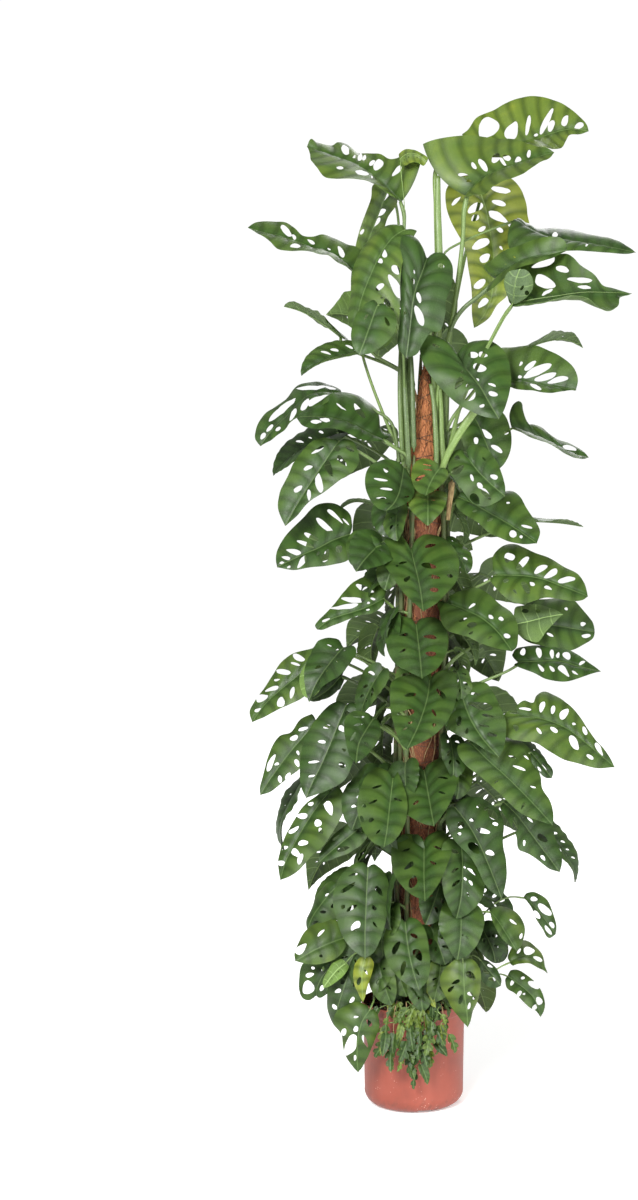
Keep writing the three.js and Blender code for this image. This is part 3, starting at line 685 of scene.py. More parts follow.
# The holes of one half, each an egg along the space between two side veins
def holesOf(blade, outline, veins, side, draw):
    rings = []
    openness = blade["holes"]
    for k in range(veins - 1):
        share = (k + 0.35 + 0.3 * draw.random()) / veins
        reach = np.linspace(0.05, 1, 60)
        within = inside(laidFlat(blade, veinU(blade, share, reach), side * reach), outline)
        margin = reach[within].max() if within.any() else 0
        skipped = draw.random() < [0.45, 0.35, 0.25, 0.16, 0.1][openness]
        start = (blades["holeStart"] + 0.12 * draw.random()) * margin
        end = (blades["holeEnd"][openness] - 0.26 * draw.random()) * margin
        gap = veinFan["reach"] * blade["length"] / veins
        middle = math.sin(math.pi * (k + 0.9) / (veins + 0.3)) ** 0.5
        wide = gap * blades["holeOpen"][openness] * middle * (0.45 + 0.75 * draw.random())
        small = 1.4 + 1.6 * draw.random()
        nearby = draw.random() < 0.45
        skew = draw.random() - 0.5
        if margin < 0.3 or skipped:
            continue
        if (end - start) * blade["half"] < 1.1 * wide:
            wide = (end - start) * blade["half"] / 1.1
        count = 2 * max(7, int(math.pi * 0.8 * (end - start) * blade["half"] / blades["grid"]))
        turn = np.linspace(0, 2 * math.pi, count, endpoint=False)
        v = (start + end) / 2 + (end - start) / 2 * np.sin(turn)
        swell = 1 + (0.3 + 0.3 * skew) * np.sin(turn) + 0.15 * skew * np.cos(2 * turn)
        u = veinU(blade, share, v) + 0.5 * wide / blade["length"] * np.cos(turn) * swell
        rings.append(laidFlat(blade, u, side * v))
        if nearby and openness and start * blade["half"] > 6:
            v = (0.45 * start * blade["half"] + small * np.sin(turn[::2])) / blade["half"]
            u = veinU(blade, share, v) + small / blade["length"] * np.cos(turn[::2])
            rings.append(laidFlat(blade, u, side * v))
    return rings


# A drawn blade's holes are given in the picture: the half (1 right, -1 left), the pixel of its
# middle, its length and width in pixels, and how steeply it rises to the right, in degrees. A
# sketched leaf's holes leave out the half.
def drawnHolesOf(blade, draw):
    u, v = np.meshgrid(np.linspace(0.01, 0.99, 99), np.linspace(0.04, 1.25, 90))
    u, v = u.ravel(), v.ravel()
    rings = []
    for side, px, py, long, wide, steep in blade["drawnHoles"]:
        seenX, seenY = pixelsOf(drawnAt(blade, u, side * v))
        turn = np.linspace(0, 2 * math.pi, 2 * max(7, int(0.8 * long)), endpoint=False)
        uneven = 1 + 0.1 * np.sin(2 * turn + 6 * draw.random())
        uneven = uneven + 0.07 * np.sin(3 * turn + 6 * draw.random())
        taper = 1 + (draw.random() - 0.5) * 0.7 * np.cos(turn)
        a, b = long / 2 * np.cos(turn) * uneven, wide / 2 * np.sin(turn) * uneven * taper
        slope = math.radians(steep)
        ringX = px + a * math.cos(slope) - b * math.sin(slope)
        ringY = py - a * math.sin(slope) - b * math.cos(slope)
        gap = (ringX[:, None] - seenX) ** 2 + (ringY[:, None] - seenY) ** 2
        near = np.argsort(gap, axis=1)[:, :4]
        share = 1 / (np.take_along_axis(gap, near, axis=1) + 0.02)
        share /= share.sum(axis=1)[:, None]
        ring = laidFlat(blade, (u[near] * share).sum(axis=1), side * (v[near] * share).sum(axis=1))
        ring = (np.roll(ring, 1, axis=0) + 2 * ring + np.roll(ring, -1, axis=0)) / 4
        rings.append(ring[np.linalg.norm(ring - np.roll(ring, 1, axis=0), axis=1) > 0.25])
    return [ring for ring in rings if len(ring) > 5]


# A sketched leaf is a drawn one that lies near a plane. Its row: tone (below 0 its underside shows),
# the depth of its base, the mm that each pixel toward the tip, toward the picture's top and away
# from the midrib lies deeper, then the midrib, both margins and the holes, all in pixels.
def sketchedPlan(row):
    tone, base, ahead, up, fold, rib, *margins, holes = row
    rib = np.array(rib, dtype=float)
    fine = evenly(curveThrough(rib, 8), 2)
    along = unit(rib[-1] - rib[0])
    over = along[::-1] * [1, -1]
    if over[1] > 0:
        over = -over

    def offRib(points):
        off = np.array([p[:2] for p in points], dtype=float)[:, None] - fine
        near = np.argmin((off ** 2).sum(axis=2), axis=1)
        off = off[np.arange(len(near)), near]
        ahead = fine[np.minimum(near + 1, len(fine) - 1)] - fine[np.maximum(near - 1, 0)]
        return np.linalg.norm(off, axis=1), np.sign(ahead[:, 0] * off[:, 1] - ahead[:, 1] * off[:, 0])

    def deep(points):
        off = np.array(points, dtype=float) - rib[0]
        depth = base + off @ along * ahead + off @ over * up + offRib(points)[0] * fold
        return [(*p, y) for p, y in zip(points, depth)]

    sides = {offRib(margin)[1].sum() > 0: deep(margin) for margin in margins}
    return {
        "tone": abs(tone), "flip": tone < 0, "crown": blades["crown"],
        "rib": deep(rib), "right": sides[True], "left": sides[False],
        "holes": [(side, *hole) for side, hole in zip(offRib(holes)[1] if holes else [], holes)],
    }


# A thin plate with an upper and an under face: even triangles that run along the outline, the
# holes and the midrib, lifted between the side veins
def addBlade(heap, blade, outlineShape, draw):
    size = np.array([blade["length"], blade["half"]])
    grid = min(blades["grid"], blade["half"] / 5)
    veins = max(4, round(blade["length"] / leafLooks["veinStep"]))
    sides = []
    for side in (1, -1):
        if "rib" in blade:
            edge = laidFlat(blade, blade["shares"], side * np.ones(blades["shares"]))
            edge[-1, 1] = 0
            edge = np.concatenate([[[0, 0]], edge])
        else:
            half = curveThrough(outlineShape, 12)
            wobble = 1 + 0.05 * np.sin(6 * half[:, 0] + blade["phase"] * side)
            wobble = wobble + 0.22 * (draw.random() - 0.5)
            edge = np.stack([half[:, 0], side * half[:, 1] * wobble], axis=1) * size
        sides.append(evenly(edge, grid))
    right, left = sides
    rings = [np.concatenate([right[:-1], left[:0:-1]])]
    if blade.get("drawnHoles") is not None:
        rings += drawnHolesOf(blade, draw)
    elif outlineShape is not cutOutline:
        for side in (1, -1):
            rings += holesOf(blade, rings[0], veins, side, draw)
    ribCount = max(6, int(blade["length"] / grid))
    rib = np.stack([np.arange(1, ribCount) / ribCount * blade["length"], np.zeros(ribCount - 1)], axis=1)
    fixed = np.concatenate([*rings, rib])
    chains = []
    start = 0
    for ring in rings:
        index = np.arange(start, start + len(ring))
        chains.append(np.stack([index, np.roll(index, -1)], axis=1))
        start += len(ring)
    spine = np.concatenate([[0], np.arange(start, start + len(rib)), [len(right) - 1]])
    chains.append(np.stack([spine[:-1], spine[1:]], axis=1))

    inner = blades["inner"] * grid
    rows = np.arange(-0.12 * size[0], size[0], inner)
    columns = np.arange(-size[1], size[1], inner * 0.866)     # rows of even triangles
    x, y = np.meshgrid(rows, columns)
    x = x + 0.5 * inner * (np.arange(len(columns)) % 2)[:, None]
    field = np.stack([x.ravel(), y.ravel()], axis=1)
    gap = np.sqrt(((field[:, None, :] - fixed[None, :, :]) ** 2).sum(axis=2)).min(axis=1)
    field = field[(gap > 0.55 * inner) & inside(field, rings[0])]
    flat = np.concatenate([fixed, field])
    found = delaunay_2d_cdt([Vector(p) for p in flat], np.concatenate(chains).tolist(), [], 0, 1e-5)
    flat = np.array([tuple(p) for p in found[0]])
    tri = np.array(found[2])
    middles = flat[tri].mean(axis=1)
    kept = inside(middles, rings[0])
    for ring in rings[1:]:
        kept &= ~inside(middles, ring)
    used, tri = np.unique(tri[kept], return_inverse=True)
    tri = tri.reshape(-1, 3)
    flat = flat[used]
    a, b, c = flat[tri[:, 0]], flat[tri[:, 1]], flat[tri[:, 2]]
    area = (b[:, 0] - a[:, 0]) * (c[:, 1] - a[:, 1]) - (b[:, 1] - a[:, 1]) * (c[:, 0] - a[:, 0])
    tri[area > 0] = tri[area > 0][:, [0, 2, 1]]

    u, v = sharesOf(blade, flat)
    phase = veinShare(blade, u, v) * veins
    window = np.clip(np.abs(v) / 0.15, 0, 1) * (1 - 0.75 * np.abs(v)) * min(1, blade["half"] / 45)
    relief = blades["quilt"] * (np.abs(np.sin(math.pi * phase)) ** 0.8 - 0.4) * window
    relief = relief - blades["groove"] * np.exp(-(flat[:, 1] / 4) ** 2)
    sheet = bladeAt(blade, u, v)
    normals = bladeNormals(blade, u, v)
    upper = sheet + normals * (relief + blades["thickness"] / 2)[:, None]
    under = sheet + normals * (relief - blades["thickness"] / 2)[:, None]

    count = len(flat)
    forward = np.concatenate([tri[:, [0, 1]], tri[:, [1, 2]], tri[:, [2, 0]]])
    codes = forward @ [count, 1]
    rim = forward[~np.isin(codes, forward[:, ::-1] @ [count, 1])]
    a, b = rim.T
    walls = [np.stack([b, a, a + count], axis=1), np.stack([b, a + count, b + count], axis=1)]
    walls = np.concatenate(walls)
    faces = np.concatenate([tri, tri[:, ::-1] + count, walls])
    front, back = (underFace, upperFace) if blade.get("flip") else (upperFace, underFace)
    made = np.repeat([front, back, front], [len(tri), len(tri), len(walls)])
    seed = 400 * draw.random()
    place = np.concatenate([flat, np.full((count, 1), seed)], axis=1)
    pile(heap, np.concatenate([upper, under]), faces, made, np.tile(place, (2, 1)), np.tile(phase, 2),
         blade["tone"], np.concatenate([rim, rim + count]))

    u = np.linspace(0.0, 0.96, 16)
    radius = blades["ribRadius"] * min(1, blade["length"] / 150) * (1 - 0.85 * u)
    centre = bladeAt(blade, u, 0 * u)
    down = bladeNormals(blade, u, 0 * u) * (blades["groove"] + 0.3 + 0.4 * radius)[:, None]
    addTube(heap, centre - down, radius, stalkFace, blade["tone"], sides=6, seed=seed)


# The stalk leaves its stem upward and outward and comes to the blade from its underside. Its
# lower part is a sheath with two thin ridges, and it swells where the blade begins.
stalks = {"radius": 2.7, "sheath": 0.42, "ridge": 0.55}


def stalkEnd(blade):
    return blade["base"] + 2 * blade["along"] - 1.2 * blade["normal"]


def addStalk(heap, blade, start, radius, seed):
    end = stalkEnd(blade)
    reach = np.linalg.norm(end - start)
    out = unit((end - start) * [1, 1, 0])
    first = start + out * 0.14 * reach + point(0, 0, 0.3 * reach)
    last = end - blade["normal"] * 0.2 * reach - blade["along"] * 0.08 * reach
    stalkTube(heap, evenly(bezier(start, first, last, end, 40), 8), radius, blade["tone"], seed)


# A drawn blade with the stalk that its plan gives: the points passed on the way from its stem
def addDrawn(heap, plan, phase, started, draw):
    blade = drawnBlade(plan, phase)
    addBlade(heap, blade, None, draw)
    passed = [*started, *[atPixel(*p) for p in plan["stalk"]], stalkEnd(blade)]
    path = evenly(curveThrough(passed, 12), 9)
    stalkTube(heap, path, plan["stout"], plan["stalkTone"], 30 * draw.random(), 1.7)


# A sheath is the broad foot of a stalk that stands beside the stem. Its row: tone (below 0 it is
# dry), radius at its foot and its top, how broad it is, and the points that it passes.
def addSheath(heap, row, seed):
    tone, low, high, broad, *passed = row
    path = pixelCurve(passed, 12, 6)
    share = np.linspace(0, 1, len(path))
    size = (low + (high - low) * share) * np.clip(share / 0.06, 0.3, 1)
    made = rootFace if tone < 0 else stalkFace
    ridge = 0.4 * np.clip(share / 0.5, 0, 1)
    addTube(heap, path, size, made, abs(tone), sides=12, ridge=ridge, seed=seed, broad=broad)


def stalkTube(heap, path, radius, tone, seed, sheathWidth=1.0):
    share = np.linspace(0, 1, len(path))
    size = radius * (1.2 - 0.35 * share + 0.25 * np.exp(-((share - 0.96) / 0.03) ** 2))
    clasp = np.clip(1 - share / stalks["sheath"], 0, 1) ** 0.5
    broad = 1 + (sheathWidth - 1) * clasp * np.clip(share / 0.08, 0.2, 1)
    ridge = stalks["ridge"] * clasp
    addTube(heap, path, size, stalkFace, tone, sides=10, ridge=ridge, seed=seed, broad=broad)


# Climbing stems: the angle at which each stands round the pole (0 is the right, -90 the front),
# how high it goes, and its leaves
climbing = {
    "radius": 5, "clear": 4, "wave": 5, "waveLength": 95, "innermost": 13, "foot": 113, "soilTop": 168,
    "rootRadius": 1.3, "rootsAtLeaf": 2,
    "bundle": (60, 230),      # mm below a stem's top where the highest leaves' stalks leave it
}

# Small leaves close to the pole, which fill the plant out between the large ones. They keep
# nearer to the pole the higher they are.
filling = {
    "from": 225, "to": 1150, "step": (44, 128), "swing": 62, "stalk": (18, 46), "length": (58, 96),
    "reachLow": 132, "reachHigh": 84,
}


def climberPoint(stem, z):
    sway = climbing["wave"] * np.sin(z / climbing["waveLength"] + stem["angle"])
    angle = np.radians(stem["angle"] + sway)
    away = np.maximum(poleRadiusAt(z), climbing["innermost"]) + climbing["radius"] + climbing["clear"]
    return poleAxis(z) + np.stack([away * np.cos(angle), away * np.sin(angle), 0 * away], axis=-1)


def addRoots(heap, stem, z, draw):
    for _ in range(climbing["rootsAtLeaf"]):
        drop = 40 + 90 * draw.random()
        swing = (draw.random() - 0.5) * 1.8
        z0 = max(z - 8 * draw.random(), climbing["soilTop"] + drop + 10)
        heights = np.linspace(z0, z0 - drop, 10)
        share = np.linspace(0, 1, 10)
        angle = math.radians(stem["angle"]) + swing * share ** 0.7 + 0.06 * np.sin(9 * share + z)
        hug = np.minimum(1, share * 3)
        away = np.maximum(poleRadiusAt(heights), climbing["innermost"]) + 2 + (1 - hug) * 6
        path = poleAxis(heights) + np.stack([away * np.cos(angle), away * np.sin(angle), 0 * away], axis=1)
        path[0] = climberPoint(stem, z0)
        addTube(heap, path, climbing["rootRadius"] * (1 - 0.6 * share), rootFace, 0.5, sides=5, seed=z)


def addFilling(heap, name, stem):
    draw = random.Random(name + "filling")
    z = filling["from"] + 30 * draw.random()
    number = 0
    while z < min(stem["top"] - 50, filling["to"]):
        high = (z - filling["from"]) / (filling["to"] - filling["from"])
        turn = math.radians(stem["angle"] + filling["swing"] * (2 * draw.random() - 1))
        radial = point(math.cos(turn), math.sin(turn), 0)
        tangent = point(-math.sin(turn), math.cos(turn), 0)
        length = pick(draw, filling["length"]) * (1.1 - 0.25 * high)
        reach = pick(draw, filling["stalk"])
        root = climberPoint(stem, z)
        limit = filling["reachLow"] + (filling["reachHigh"] - filling["reachLow"]) * high
        lean = 0.25 + 0.35 * draw.random()
        reach = min(reach, max(8, limit - np.hypot(*root[:2]) - lean * length))
        base = root + radial * reach + point(0, 0, 0.35 * reach + 8 * draw.random())
        along = unit(radial * lean + tangent * (draw.random() - 0.5) * 0.9 - point(0, 0, 0.9))
        normal = radial * 0.9 + point(0, 0, 0.35) + tangent * (draw.random() - 0.5) * 0.8
        width = length * (0.68 + 0.14 * draw.random())
        tone = 0.2 + 0.22 * draw.random()
        holes = draw.choice([0, 1, 1, 2, 3])
        blade = bladeBetween(base, base + along * length, normal, width, tone, 8, 0.07, holes, z + number)
        addBlade(heap, blade, heartOutline, draw)
        addStalk(heap, blade, root, stalks["radius"] - 0.5, 30 * draw.random())
        step = filling["step"]
        z += step[0] + (step[1] - step[0]) * high * (0.7 + 0.6 * draw.random())
        number += 1


def leafyClimber(name, stem):
    heap = newHeap()
    z = np.arange(climbing["foot"], stem["top"] + 1, 8.0)
    path = climberPoint(stem, np.maximum(z, climbing["soilTop"] + 20))
    path[:, 2] = z
    radius = np.full(len(z), 0.86 * climbing["radius"])
    leaves = [bladeOf(row, i * 1.7 + stem["angle"]) for i, row in enumerate(stem["leaves"])]
    leaves += [drawnBlade(sketchedPlan(row), i * 1.9) for i, row in enumerate(stem.get("sketched", []))]
    for i, blade in enumerate(leaves):
        draw = random.Random(f"{name}{i}")
        height = blade["base"][2]
        near = np.linalg.norm(climberPoint(stem, height) - blade["base"])
        low = climbing["soilTop"] + 15
        start = max(height - 0.55 * near - 15, low)
        if start > stem["top"] - 10:
            start = stem["top"] - pick(draw, climbing["bundle"])
        radius += 1.3 * np.exp(-((z - start) / 7) ** 2)
        stout = max(0, height - 1400) * 0.01
        addBlade(heap, blade, draw.choice([heartOutline, heartOutline, longOutline]), draw)
        addStalk(heap, blade, climberPoint(stem, start), stalks["radius"] + stout, 30 * draw.random())
        addRoots(heap, stem, start, draw)
    for i, row in enumerate(stem.get("drawn", [])):
        plan = drawnPlan(row)
        started = [climberPoint(stem, plan["root"] - 30), climberPoint(stem, plan["root"])]
        addDrawn(heap, plan, 1.3 * i, started, random.Random(f"{name}drawn{i}"))
    for i, row in enumerate(stem.get("sheaths", [])):
        addSheath(heap, row, 7.0 * i)
    addFilling(heap, name, stem)
    radius *= np.clip((stem["top"] + 12 - z) / 60, 0.3, 1) ** 0.6
    addTube(heap, path, radius, stemFace, 0.4, sides=12, seed=stem["angle"])
    return heap


# Free shoots: the points that each stem passes, and its leaves, each with the share of the
# stem's length at which its stalk starts
def leafyShoot(name, plant):
    heap = newHeap()
    path = curveThrough(plant["route"], 10)
    along = np.linspace(1.0, 0.55, len(path))
    addTube(heap, path, plant["radius"] * along, stalkFace, 0.3, sides=10, seed=plant["radius"])
    for i, (share, row) in enumerate(plant.get("leaves", [])):
        draw = random.Random(f"{name}{i}")
        blade = bladeOf(row, i * 2.1 + plant["radius"])
        addBlade(heap, blade, heartOutline, draw)
        addStalk(heap, blade, atShare(path, share), stalks["radius"] - 0.5, 30 * draw.random())
    for i, (share, row) in enumerate(plant.get("sketched", [])):
        draw = random.Random(f"{name}sketched{i}")
        blade = drawnBlade(sketchedPlan(row), i * 1.3)
        addBlade(heap, blade, None, draw)
        addStalk(heap, blade, atShare(path, share), stalks["radius"] - 0.3, 30 * draw.random())
    for i, row in enumerate(plant.get("drawn", [])):
        plan = drawnPlan(row)
        started = [atShare(path, plan["root"] - 0.08), atShare(path, plan["root"])]
        addDrawn(heap, plan, 1.9 * i, started, random.Random(f"{name}drawn{i}"))
    for i, runner in enumerate(plant.get("runners", [])):
        addRunner(heap, runner, random.Random(f"{name}runner{i}"))
    return heap


# A runner hangs from the soil over the pot's rim, and its small cut leaves stand off it on both
# sides and to the front, each with its tip down
trailing = {
    "radius": 1.2, "step": (9, 17), "length": (18, 38), "narrow": 0.5, "stalk": (4, 18), "bare": 54,
    "tone": (0.3, 0.85),
}


def addRunner(heap, runner, draw):
    path = evenly(curveThrough(runner, 10), 4)
    along = lengthAlong(path)
    share = along / along[-1]
    addTube(heap, path, trailing["radius"] * (1 - 0.5 * share), rootFace, 0.5, sides=6, seed=along[-1])
    at = trailing["bare"]
    way = 1
    while at < along[-1]:
        root = atShare(path, at / along[-1])
        ahead = unit(atShare(path, min(1, at / along[-1] + 0.05)) - atShare(path, at / along[-1] - 0.05))
        out = unit(point(root[0], root[1], 0))
        aside = point(-out[1], out[0], 0)
        swing = way * (0.25 + 0.6 * draw.random())
        lean = unit(out * (0.35 + 0.5 * draw.random()) + aside * swing)
        length = pick(draw, trailing["length"])
        base = root + lean * pick(draw, trailing["stalk"]) + ahead * 3
        down = point(0, 0, -1) + lean * (0.1 + 0.7 * draw.random()) + aside * (draw.random() - 0.5) * 0.5
        down = unit(down)
        normal = out * 0.9 + point(0, 0, 0.3) + aside * (draw.random() - 0.5) * 1.4
        width = length * trailing["narrow"] * (0.8 + 0.5 * draw.random())
        tone = pick(draw, trailing["tone"])
        blade = bladeBetween(base, base + down * length, normal, width, tone, 12, 0.05, 0, at + swing)
        addBlade(heap, blade, cutOutline if draw.random() < 0.7 else longOutline, draw)
        addStalk(heap, blade, root, 0.8, 30 * draw.random())
        at += pick(draw, trailing["step"])
        way = -way


